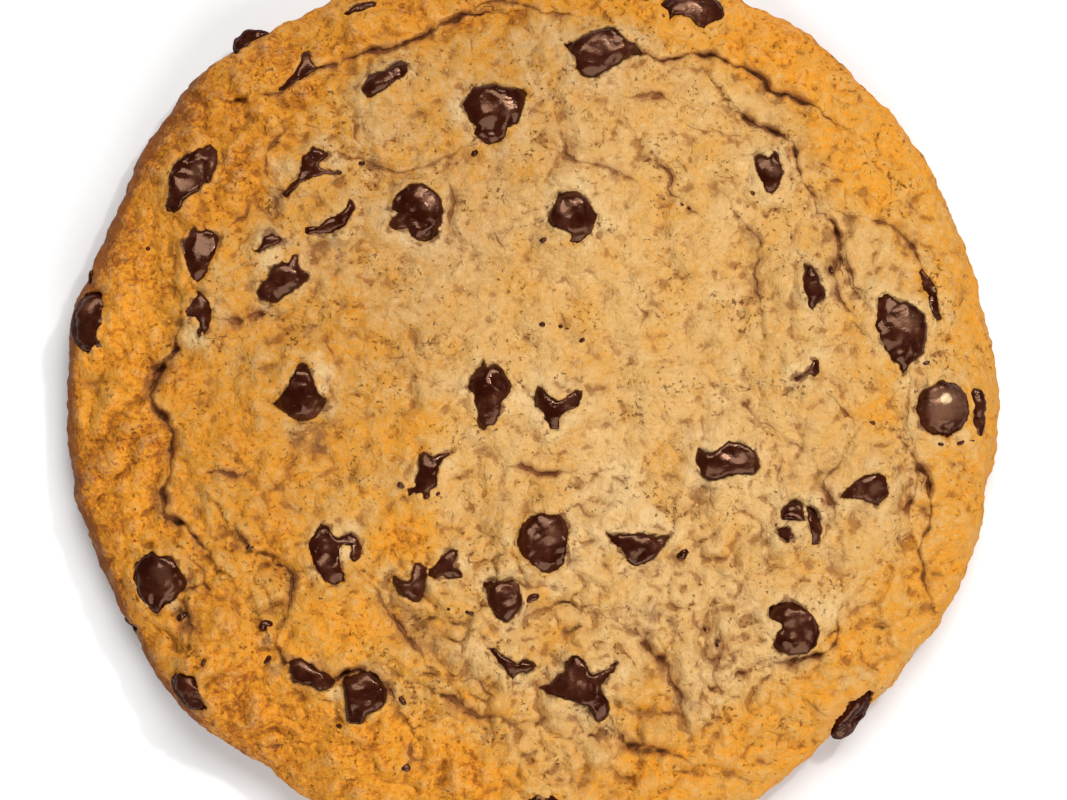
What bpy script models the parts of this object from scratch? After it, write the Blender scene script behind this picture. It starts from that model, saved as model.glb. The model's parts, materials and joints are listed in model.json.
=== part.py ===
# A chocolate chip cookie about 102 mm across: one baked dough body with a flat underside,
# and the chocolate chips that show in its top, each in a pocket of its own.
# Lengths are in millimetres while the shapes are made, and become metres in new_object().
import math
import random

import bmesh
import bpy
import numpy as np
from mathutils import Matrix, Vector, noise

MM = 0.001

# The turned body.
EDGE_RADIUS = 50.2        # mean radius where the cookie is widest
TOP_HEIGHT = 11.7         # height of the middle over the underside
WIDEST_HEIGHT = 4.2       # height of the widest ring
BASE_RADIUS = 47.6        # radius of the flat underside
SHOULDER_POWER = 6.0      # higher is a flatter top with a tighter shoulder
TRIM_DEPTH = 1.5          # the turned body reaches this far down before it is cut flat
TURN_STEPS = 96
TOP_RINGS = 18
SIDE_RINGS = 8
VOXEL = 1.0               # mesh size for the relief
FACES_KEPT = 0.074        # share of those faces that the finished surface needs

# The spread of the dough: slightly oval, with lobes and dents (degrees, mm, half width in degrees).
OVAL = 0.75
EDGE_LOBES = (
    (15.0, -0.5, 9.0),
    (50.0, 0.5, 8.0),
    (120.0, -0.4, 7.0),
    (136.0, 1.05, 9.0),
    (156.0, -0.45, 8.0),
    (204.0, -0.6, 8.0),
    (219.0, 0.45, 6.0),
    (231.0, -0.7, 6.0),
    (313.0, -1.3, 10.0),
)

# Relief of the top.
SWELL_SIZE = 13.0         # span of the broad swellings
SWELL_HEIGHT = 0.75
LUMP_SIZE = 5.5           # span of the smaller lumps
LUMP_HEIGHT = 0.4
MOUND_HEIGHT = 0.55       # how far the dough rises round a chip
MOUND_SPREAD = 1.15       # radius of that rise, in chip lengths
RELIEF_FROM = 3.5         # heights between which the relief fades in, up the side
RELIEF_FULL = 8.5
BAKE_SEED = 27.0

# Chips.
GAP = 0.3                 # clearance between a chip and its pocket
SLIVER_EDGE = 0.1         # corners of the pockets' rims closer than this become one
CHIP_SIDES = 7
CHIP_RINGS = 5
SLIVER_WIDTH = 2.8        # narrower chips are made with a side and a ring fewer
CHIP_WOBBLE = 0.10        # unevenness, as a share of the chip's size
CHIP_LEAST_HEIGHT = 2.6
CHIP_MOST_HEIGHT = 5.4
CHIP_BLUNTNESS = 2.6      # 2 is an ellipsoid, and more has a blunter top and base
TIP_TAPER = 0.12          # how much a chip narrows towards its tip

# Creases where the crust has parted: depth, width, and the line that each follows.
CREASES = (
    (1.9, 1.3, ((-31, 33.5), (-27, 34.1), (-25, 35.8), (-21.5, 36.9), (-13, 39.4), (-9, 41.6), (-3.5, 42.6))),
    (1.0, 1.0, ((-6.5, 43.5), (-4, 44), (3, 42.2), (5, 41.8))),
    (1.8, 1.3, ((10.3, 39.5), (14, 37.4), (20, 37.8), (25, 35.5), (31, 32))),
    (1.8, 1.3, ((21.5, 33), (23.5, 30.5), (28, 28.5), (29.3, 25), (31.3, 20.8), (33.3, 18.5), (34, 14.5))),
    (1.4, 1.2, ((36, 20.4), (41, 18), (42.2, 14.5))),
    (1.9, 1.4, ((-38.2, 8.5), (-40, 4.7), (-41.5, 1.5), (-39, -3), (-39, -7), (-40, -10), (-37.5, -13), (-35, -16))),
    (1.5, 1.2, ((41, -5.2), (43.4, -11), (42, -15.5), (43.3, -21))),
    (1.2, 1.1, ((30, -27.3), (33.2, -25), (33.5, -23))),
    (1.1, 1.1, ((11.5, -24), (14, -28), (15.5, -31.5))),
    (0.9, 1.0, ((-26, -18.5), (-26.8, -22.5))),
    (0.9, 1.0, ((3.3, 30), (3.5, 27), (6, 26), (11, 24))),
)

# The chips that show: place, length, width, turn of the length from +X in degrees,
# and how far the top stands over the dough.
CHIPS = (
    # The upper left quarter.
    ("sliver_top", -18.8, 43.2, 4.4, 1.9, 18, 0.8),
    ("edge_upper_left", -30.9, 39.7, 4.8, 3.2, 38, 1.2),
    ("crease_upper_left", -25.2, 34.6, 4.2, 2.4, 50, 1.0),
    ("upper_left", -15.9, 35.0, 5.2, 2.7, 30, 1.3),
    ("upper_middle", -4.1, 31.8, 6.8, 5.0, 5, 1.7),
    ("middle_left_big", -12.4, 20.9, 6.6, 5.8, 70, 1.8),
    ("outer_left_top", -36.8, 24.8, 7.4, 4.8, 105, 1.6),
    ("outer_left_mid", -35.9, 16.0, 7.0, 3.4, 80, 1.4),
    ("outer_left_low", -36.1, 10.1, 4.0, 2.7, 75, 1.0),
    ("sliver_left", -24.2, 26.6, 3.6, 1.9, 40, 0.8),
    ("slit_left", -21.9, 20.0, 5.6, 1.7, 30, 0.7),
    ("inner_left", -27.0, 13.9, 5.9, 3.9, 35, 1.4),
    ("speck_left", -28.6, 17.9, 3.2, 1.6, 15, 0.7),
    ("side_left", -48.5, 9.0, 7.2, 5.2, 97, 1.3),
    # The upper right quarter.
    ("top_right", 17.5, 42.7, 7.0, 3.4, 8, 1.3),
    ("top_middle", 7.4, 38.3, 6.0, 4.9, 15, 1.6),
    ("middle_top", 4.2, 20.4, 6.0, 4.9, 80, 1.8),
    ("right_top", 25.6, 25.1, 4.5, 3.1, 70, 1.3),
    ("right_inner", 30.3, 13.0, 4.9, 2.6, 75, 1.2),
    ("right_big", 39.9, 7.8, 7.4, 5.4, 68, 1.7),
    ("right_sliver", 43.8, 12.9, 5.4, 1.7, 115, 0.8),
    ("right_round", 44.6, -0.4, 6.2, 5.9, 75, 2.0),
    ("right_small", 29.6, 4.0, 3.2, 1.9, 30, 0.8),
    # The middle.
    ("left_triangle", -25.0, 1.5, 5.8, 5.0, 85, 1.6),
    ("centre_tall", -4.6, 1.0, 7.1, 4.2, 86, 1.6),
    ("centre_vee", 2.9, -0.2, 5.4, 4.4, 5, 1.4),
    ("below_left", -11.2, -7.7, 5.3, 3.6, 70, 1.3),
    ("right_bean", 21.1, -6.0, 7.0, 3.5, 5, 1.4),
    ("right_low", 36.4, -9.1, 4.9, 4.0, 25, 1.4),
    # The lower half.
    ("covered_right", 28.7, -13.0, 5.4, 4.7, 60, 1.2),
    ("comma_right", 28.4, -24.2, 6.0, 5.0, 45, 1.6),
    ("big_below", 1.3, -14.9, 6.7, 5.7, 85, 2.0),
    ("eye_below", 11.5, -15.5, 6.7, 3.5, -8, 1.3),
    ("small_below", -3.1, -21.3, 5.0, 4.4, 55, 1.3),
    ("left_below", -21.3, -16.4, 7.0, 5.4, 75, 1.4),
    ("pair_left", -13.3, -19.2, 4.5, 3.2, 75, 1.0),
    ("pair_right", -8.6, -17.0, 4.5, 3.0, 30, 1.0),
    ("outer_left_big", -40.5, -19.1, 6.8, 5.3, 80, 1.8),
    ("edge_lower_left", -37.8, -31.6, 5.4, 4.0, 130, 1.4),
    ("edge_left_sliver", -45.0, -23.9, 3.2, 1.7, 150, 0.9),
    ("lower_left_long", -24.4, -29.3, 4.8, 2.5, 145, 1.2),
    ("lower_left", -18.3, -31.8, 6.0, 4.5, 60, 1.7),
    ("lower_star", 5.4, -30.5, 7.2, 5.4, 40, 1.4),
    ("squiggle", -2.0, -27.7, 5.0, 1.7, -18, 0.7),
    ("edge_lower_right", 35.2, -34.3, 7.0, 3.4, 65, 1.4),
    ("bottom", 1.0, -43.3, 4.4, 2.6, 0, 1.2),
)
CHIP_SEED = 4

DOUGH_COLOUR = (0.72, 0.36, 0.085, 1.0)
CHIP_COLOUR = (0.055, 0.018, 0.009, 1.0)


def clear_scene():
    for thing in list(bpy.data.objects):
        bpy.data.objects.remove(thing, do_unlink=True)


def new_collection(name):
    group = bpy.data.collections.new(name)
    bpy.context.scene.collection.children.link(group)
    return group


def new_material(name, colour, roughness):
    material = bpy.data.materials.new(name)
    material.use_nodes = True
    material.diffuse_color = colour
    shader = material.node_tree.nodes["Principled BSDF"]
    shader.inputs["Base Color"].default_value = colour
    shader.inputs["Roughness"].default_value = roughness
    return material


def new_object(name, shape, group, parent):
    # Takes a bmesh in millimetres, and makes an object of it in metres.
    bmesh.ops.scale(shape, vec=(MM, MM, MM), verts=shape.verts)
    mesh = bpy.data.meshes.new(name)
    shape.to_mesh(mesh)
    shape.free()
    thing = bpy.data.objects.new(name, mesh)
    thing.parent = parent
    group.objects.link(thing)
    return thing


def smooth_step(low, high, value):
    share = np.clip((value - low) / (high - low), 0.0, 1.0)
    return share * share * (3.0 - 2.0 * share)


def edge_radius(angle):
    # Radius of the spread dough in each direction, for an array of angles in radians.
    radius = EDGE_RADIUS + OVAL * np.cos(2.0 * angle)
    for centre, height, half_width in EDGE_LOBES:
        turn = np.degrees(angle) - centre
        turn = (turn + 180.0) % 360.0 - 180.0
        radius = radius + height * np.exp(-((turn / half_width) ** 2))
    return radius


def shoulder_height(share):
    # Height of the smooth top, from the middle (0) to the widest ring (1).
    fall = np.sqrt(np.clip(1.0 - share**SHOULDER_POWER, 0.0, 1.0))
    return WIDEST_HEIGHT + (TOP_HEIGHT - WIDEST_HEIGHT) * fall


def distance_to_line(x, y, line):
    # Shortest distance from each place to a line of straight runs.
    nearest = np.full(x.shape, np.inf)
    for (ax, ay), (bx, by) in zip(line, line[1:]):
        run_x = bx - ax
        run_y = by - ay
        along = ((x - ax) * run_x + (y - ay) * run_y) / (run_x**2 + run_y**2)
        along = np.clip(along, 0.0, 1.0)
        nearest = np.minimum(nearest, np.hypot(x - ax - along * run_x, y - ay - along * run_y))
    return nearest


def rough(x, y, size, layer):
    places = zip(x / size, y / size)
    return np.array([noise.noise(Vector((u, v, BAKE_SEED + layer))) for u, v in places])


def relief(x, y):
    # Height that the baked top adds to the smooth one.
    height = SWELL_HEIGHT * rough(x, y, SWELL_SIZE, 0.0)
    height += LUMP_HEIGHT * rough(x, y, LUMP_SIZE, 9.0)
    for _, chip_x, chip_y, length, width, _, _ in CHIPS:
        away = np.hypot(x - chip_x, y - chip_y) / (MOUND_SPREAD * math.sqrt(length * width))
        height += MOUND_HEIGHT * np.exp(-(away**2))
    for depth, width, line in CREASES:
        away = distance_to_line(x, y, line) / width
        height -= depth * np.exp(-(away**2))
    return height


def top_surface(x, y):
    # Height of the finished top at each place inside the widest ring.
    share = np.hypot(x, y) / edge_radius(np.arctan2(y, x))
    smooth = shoulder_height(np.clip(share, 0.0, 1.0))
    return smooth + relief(x, y) * smooth_step(RELIEF_FROM, RELIEF_FULL, smooth)


def turned_body(group):
    # Half the cookie's section, from the middle of the top down the outside to the axis again.
    shape = bmesh.new()
    points = []
    for ring in range(TOP_RINGS + 1):
        share = math.sin(0.5 * math.pi * ring / TOP_RINGS)
        points.append((EDGE_RADIUS * share, float(shoulder_height(share))))
    for ring in range(1, SIDE_RINGS + 1):
        angle = 0.5 * math.pi * ring / SIDE_RINGS
        radius = BASE_RADIUS + (EDGE_RADIUS - BASE_RADIUS) * math.cos(angle)
        points.append((radius, WIDEST_HEIGHT * (1.0 - math.sin(angle))))
    points.append((BASE_RADIUS, -TRIM_DEPTH))
    points.append((0.0, -TRIM_DEPTH))
    corners = [shape.verts.new((radius, 0.0, height)) for radius, height in points]
    for first, second in zip(corners, corners[1:]):
        shape.edges.new((first, second))
    body = new_object("turned_body", shape, group, None)
    screw = body.modifiers.new("Turn", "SCREW")
    screw.steps = TURN_STEPS
    screw.render_steps = TURN_STEPS
    screw.use_merge_vertices = True
    screw.merge_threshold = 0.01 * MM
    remesh = body.modifiers.new("Even faces", "REMESH")
    remesh.mode = "VOXEL"
    remesh.voxel_size = VOXEL * MM
    return body


def baked_dough(group, parent, material):
    # The turned body with the spread, the relief and the creases worked into it.
    body = turned_body(group)
    mesh = bpy.data.meshes.new_from_object(body.evaluated_get(bpy.context.evaluated_depsgraph_get()))
    bpy.data.objects.remove(body, do_unlink=True)
    shape = bmesh.new()
    shape.from_mesh(mesh)
    bpy.data.meshes.remove(mesh)
    bmesh.ops.scale(shape, vec=(1.0 / MM, 1.0 / MM, 1.0 / MM), verts=shape.verts)
    places = np.array([vert.co for vert in shape.verts])
    spread = edge_radius(np.arctan2(places[:, 1], places[:, 0])) / EDGE_RADIUS
    places[:, 0] *= spread
    places[:, 1] *= spread
    fade = smooth_step(RELIEF_FROM, RELIEF_FULL, places[:, 2])
    places[:, 2] += relief(places[:, 0], places[:, 1]) * fade
    for vert, place in zip(shape.verts, places):
        vert.co = Vector(place)
    dough = new_object("dough", shape, group, parent)
    dough.data.materials.append(material)
    thin_out = dough.modifiers.new("Fewer faces", "DECIMATE")
    thin_out.ratio = FACES_KEPT
    return dough


def chip_shape(length, width, height, seed):
    # A morsel: round below, narrowing to a soft tip above, and a little uneven.
    shape = bmesh.new()
    fewer = 1 if width < SLIVER_WIDTH else 0
    bmesh.ops.create_uvsphere(shape, u_segments=CHIP_SIDES - fewer, v_segments=CHIP_RINGS - fewer, radius=1.0)
    for vert in shape.verts:
        uneven = 1.0 + CHIP_WOBBLE * noise.noise(vert.co * 1.3 + Vector((seed, 2.0 * seed, 0.0)))
        taper = 1.0 - TIP_TAPER * vert.co.z
        round_radius = math.hypot(vert.co.x, vert.co.y)
        if round_radius > 0.01:
            fuller = (1.0 - abs(vert.co.z) ** CHIP_BLUNTNESS) ** (1.0 / CHIP_BLUNTNESS) / round_radius
            vert.co.x *= fuller * taper * uneven
            vert.co.y *= fuller * taper * uneven
        vert.co.z *= uneven
    bmesh.ops.scale(shape, vec=(0.5 * length, 0.5 * width, 0.5 * height), verts=shape.verts)
    return shape


def chip_frame(x, y, turn, proud, height):
    # Stands a chip on the dough's slope, turned about that slope's normal.
    step = 1.5
    around_x = np.array([x + step, x - step, x, x])
    around_y = np.array([y, y, y + step, y - step])
    share = np.hypot(around_x, around_y) / edge_radius(np.arctan2(around_y, around_x))
    heights = shoulder_height(np.clip(share, 0.0, 0.995))
    slope = Vector((heights[1] - heights[0], heights[3] - heights[2], 2.0 * step)).normalized()
    ground = float(top_surface(np.array([x]), np.array([y]))[0])
    middle = Vector((x, y, ground)) + slope * (proud - 0.5 * height)
    lean = Vector((0.0, 0.0, 1.0)).rotation_difference(slope).to_matrix().to_4x4()
    return Matrix.Translation(middle) @ lean @ Matrix.Rotation(math.radians(turn), 4, "Z")


def set_chips(chips, cutters, parent, material):
    # Each chip, and a cutter that is the same shape grown by the gap.
    draw = random.Random(CHIP_SEED)
    for name, x, y, length, width, turn, proud in CHIPS:
        height = min(CHIP_MOST_HEIGHT, max(CHIP_LEAST_HEIGHT, 0.8 * width + 1.0))
        seed = draw.uniform(0.0, 50.0)
        place = chip_frame(x, y, turn, proud, height)
        for grown, group in ((0.0, chips), (GAP, cutters)):
            shape = chip_shape(length, width, height, seed)
            shape.normal_update()
            offsets = [(vert, vert.normal * grown) for vert in shape.verts]
            for vert, offset in offsets:
                vert.co += offset
            bmesh.ops.transform(shape, matrix=place, verts=shape.verts)
            label = "chip_" + name if group is chips else "pocket_" + name
            piece = new_object(label, shape, group, parent)
            if group is chips:
                piece.data.materials.append(material)
                piece.data.shade_smooth()


def make_cutters_ready(cutters, parent):
    # A slab under the cookie trims its underside flat. Cutters show as wires only.
    slab = bmesh.new()
    bmesh.ops.create_cube(slab, size=1.0)
    bmesh.ops.scale(slab, vec=(3.0 * EDGE_RADIUS, 3.0 * EDGE_RADIUS, 2.0 * TRIM_DEPTH), verts=slab.verts)
    bmesh.ops.translate(slab, vec=(0.0, 0.0, -TRIM_DEPTH), verts=slab.verts)
    new_object("underside_trim", slab, cutters, parent)
    for cutter in cutters.objects:
        cutter.hide_render = True
        cutter.display_type = "WIRE"


def make_cookie():
    clear_scene()
    cookie = new_collection("chocolate_chip_cookie")
    cutters = new_collection("cutters")
    root = bpy.data.objects.new("cookie_root", None)
    cookie.objects.link(root)
    dough_finish = new_material("baked_dough", DOUGH_COLOUR, 0.62)
    chip_finish = new_material("chocolate", CHIP_COLOUR, 0.38)
    dough = baked_dough(cookie, root, dough_finish)
    set_chips(cookie, cutters, root, chip_finish)
    make_cutters_ready(cutters, root)
    pockets = dough.modifiers.new("Pockets and flat base", "BOOLEAN")
    pockets.operation = "DIFFERENCE"
    pockets.operand_type = "COLLECTION"
    pockets.collection = cutters
    pockets.solver = "EXACT"
    tidy = dough.modifiers.new("Merge slivers", "WELD")
    tidy.merge_threshold = SLIVER_EDGE * MM


make_cookie()
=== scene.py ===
# Dresses the solids of a chocolate chip cookie: a fine baked crust, glossy morsels with dough lapping
# over their edges, flecks of chocolate, crumbs and a browned underside.
# Lengths in the tables are millimetres.
import json
import math
import random

import bmesh
import bpy
import numpy as np
from mathutils import Euler, Matrix, Vector, noise
from mathutils.bvhtree import BVHTree
from mathutils.kdtree import KDTree

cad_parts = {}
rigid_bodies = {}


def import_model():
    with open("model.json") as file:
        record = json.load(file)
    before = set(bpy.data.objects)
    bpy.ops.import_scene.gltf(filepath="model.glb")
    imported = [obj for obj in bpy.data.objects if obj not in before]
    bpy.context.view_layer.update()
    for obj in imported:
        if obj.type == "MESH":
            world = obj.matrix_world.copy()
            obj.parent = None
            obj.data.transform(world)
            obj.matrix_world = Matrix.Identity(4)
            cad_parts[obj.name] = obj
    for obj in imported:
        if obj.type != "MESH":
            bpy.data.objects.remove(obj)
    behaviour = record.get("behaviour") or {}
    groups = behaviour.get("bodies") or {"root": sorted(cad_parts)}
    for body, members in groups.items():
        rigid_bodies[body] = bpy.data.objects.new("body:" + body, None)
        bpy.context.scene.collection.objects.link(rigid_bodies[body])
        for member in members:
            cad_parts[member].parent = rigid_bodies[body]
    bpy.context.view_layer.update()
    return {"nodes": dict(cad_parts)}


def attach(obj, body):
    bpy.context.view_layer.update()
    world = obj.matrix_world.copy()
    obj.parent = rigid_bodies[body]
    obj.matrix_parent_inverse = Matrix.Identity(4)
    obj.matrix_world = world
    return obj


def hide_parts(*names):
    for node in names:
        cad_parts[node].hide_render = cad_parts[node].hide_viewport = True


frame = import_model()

mm = 0.001
far = 1000.0


def smoothStep(low, high, value):
    share = np.clip((value - low) / (high - low), 0.0, 1.0)
    return share * share * (3.0 - 2.0 * share)


def bump(distance):
    return np.exp(-distance * distance)


def grain(places, size, octaves, layer):
    # Layered noise at each place, about -1 to 1; size is the span of its largest lumps.
    shifted = places / size + layer * 7.31
    return np.array([noise.fractal(spot, 1.0, 2.0, octaves) for spot in shifted.tolist()])


def flatPlaces(x, y, height):
    return np.stack((x, y, np.full_like(x, height)), axis=1)


def newPiece(name, mesh, material, slot, *nodes):
    piece = bpy.data.objects.new(name, mesh)
    bpy.context.scene.collection.objects.link(piece)
    mesh.materials.clear()
    mesh.materials.append(material)
    mesh.shade_smooth()
    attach(piece, "root")
    if nodes:
        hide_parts(*nodes)
    return piece


def helperObject(name, data):
    helper = bpy.data.objects.new(name, data)
    bpy.context.scene.collection.objects.link(helper)
    return helper


def evaluatedMesh(helper):
    # The helper's mesh with its modifiers applied; the helper itself goes.
    mesh = bpy.data.meshes.new_from_object(helper.evaluated_get(bpy.context.evaluated_depsgraph_get()))
    bpy.data.objects.remove(helper, do_unlink=True)
    return mesh


def evenFaces(name, mesh, sizes):
    # The mesh made again with small even faces.
    helper = helperObject(name, mesh)
    remesh = helper.modifiers.new("Even faces", "REMESH")
    remesh.mode = "VOXEL"
    remesh.voxel_size = sizes["voxel"] * mm
    return evaluatedMesh(helper)


def finishedMesh(name, bm):
    mesh = bpy.data.meshes.new(name)
    bm.to_mesh(mesh)
    bm.free()
    return mesh


def vectorsOf(values, field):
    flat = np.empty(len(values) * 3)
    values.foreach_get(field, flat)
    return flat.reshape(-1, 3)


def cornerPlaces(mesh):
    return vectorsOf(mesh.vertices, "co")


def cornerNormals(mesh):
    return vectorsOf(mesh.vertex_normals, "vector")


def moveCorners(mesh, places):
    mesh.vertices.foreach_set("co", places.ravel())
    mesh.update()


def paint(mesh, name, values):
    layer = mesh.attributes.new(name, "FLOAT", "POINT")
    layer.data.foreach_set("value", np.ascontiguousarray(values, dtype=np.float32))


def heightFinder(mesh):
    # Returns a function that gives the mesh's highest point over each x and y, in millimetres.
    tree = BVHTree.FromPolygons([v.co for v in mesh.vertices], [p.vertices for p in mesh.polygons])
    down = Vector((0.0, 0.0, -1.0))

    def heights(x, y):
        found = np.full(len(x), -far)
        for index, (px, py) in enumerate(zip(x.tolist(), y.tolist())):
            hit = tree.ray_cast(Vector((px * mm, py * mm, 30.0 * mm)), down)[0]
            if hit is not None:
                found[index] = hit.z / mm
        return found

    return heights


def segmentDistance(x, y, start, end):
    # Distance from each place to a straight run, and how far left of it the place lies.
    runX, runY = end[0] - start[0], end[1] - start[1]
    share = np.clip(((x - start[0]) * runX + (y - start[1]) * runY) / (runX**2 + runY**2), 0.0, 1.0)
    offX, offY = x - start[0] - share * runX, y - start[1] - share * runY
    return np.hypot(offX, offY), runX * offY - runY * offX


def lineDistance(x, y, line):
    nearest = np.full_like(x, far)
    side = np.ones_like(x)
    for start, end in zip(line, line[1:]):
        away, left = segmentDistance(x, y, start, end)
        closer = away < nearest
        nearest = np.where(closer, away, nearest)
        side = np.where(closer, np.where(left < 0.0, -1.0, 1.0), side)
    return nearest, side


def insideDistance(x, y, loop):
    # How far inside a closed loop each place lies; negative outside it.
    nearest = np.full_like(x, far)
    inside = np.zeros(len(x), dtype=bool)
    for start, end in zip(loop, loop[1:] + loop[:1]):
        nearest = np.minimum(nearest, segmentDistance(x, y, start, end)[0])
        if start[1] != end[1]:
            crosses = (start[1] > y) != (end[1] > y)
            border = (end[0] - start[0]) * (y - start[1]) / (end[1] - start[1]) + start[0]
            inside ^= crosses & (x < border)
    return np.where(inside, nearest, -nearest)


def radiiFrom(x, y, px, py, radius):
    # How far each place is from a spot, in radii.
    return np.hypot(x - px, y - py) / radius


def domed(heights, x, y, rows):
    # Adds the listed round domes and hollows to the heights.
    for px, py, radius, rise in rows:
        heights += rise * bump(radiiFrom(x, y, px, py, radius))
    return heights


def strongestMark(x, y, rows, outer, inner, warp=0.0):
    # The strongest of the listed round marks over each place, with soft edges between outer and inner.
    marks = np.zeros(len(x))
    for px, py, radius, amount in rows:
        there = smoothStep(outer, inner, radiiFrom(x, y, px, py, radius) + warp)
        np.maximum(marks, amount * there, out=marks)
    return marks


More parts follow.
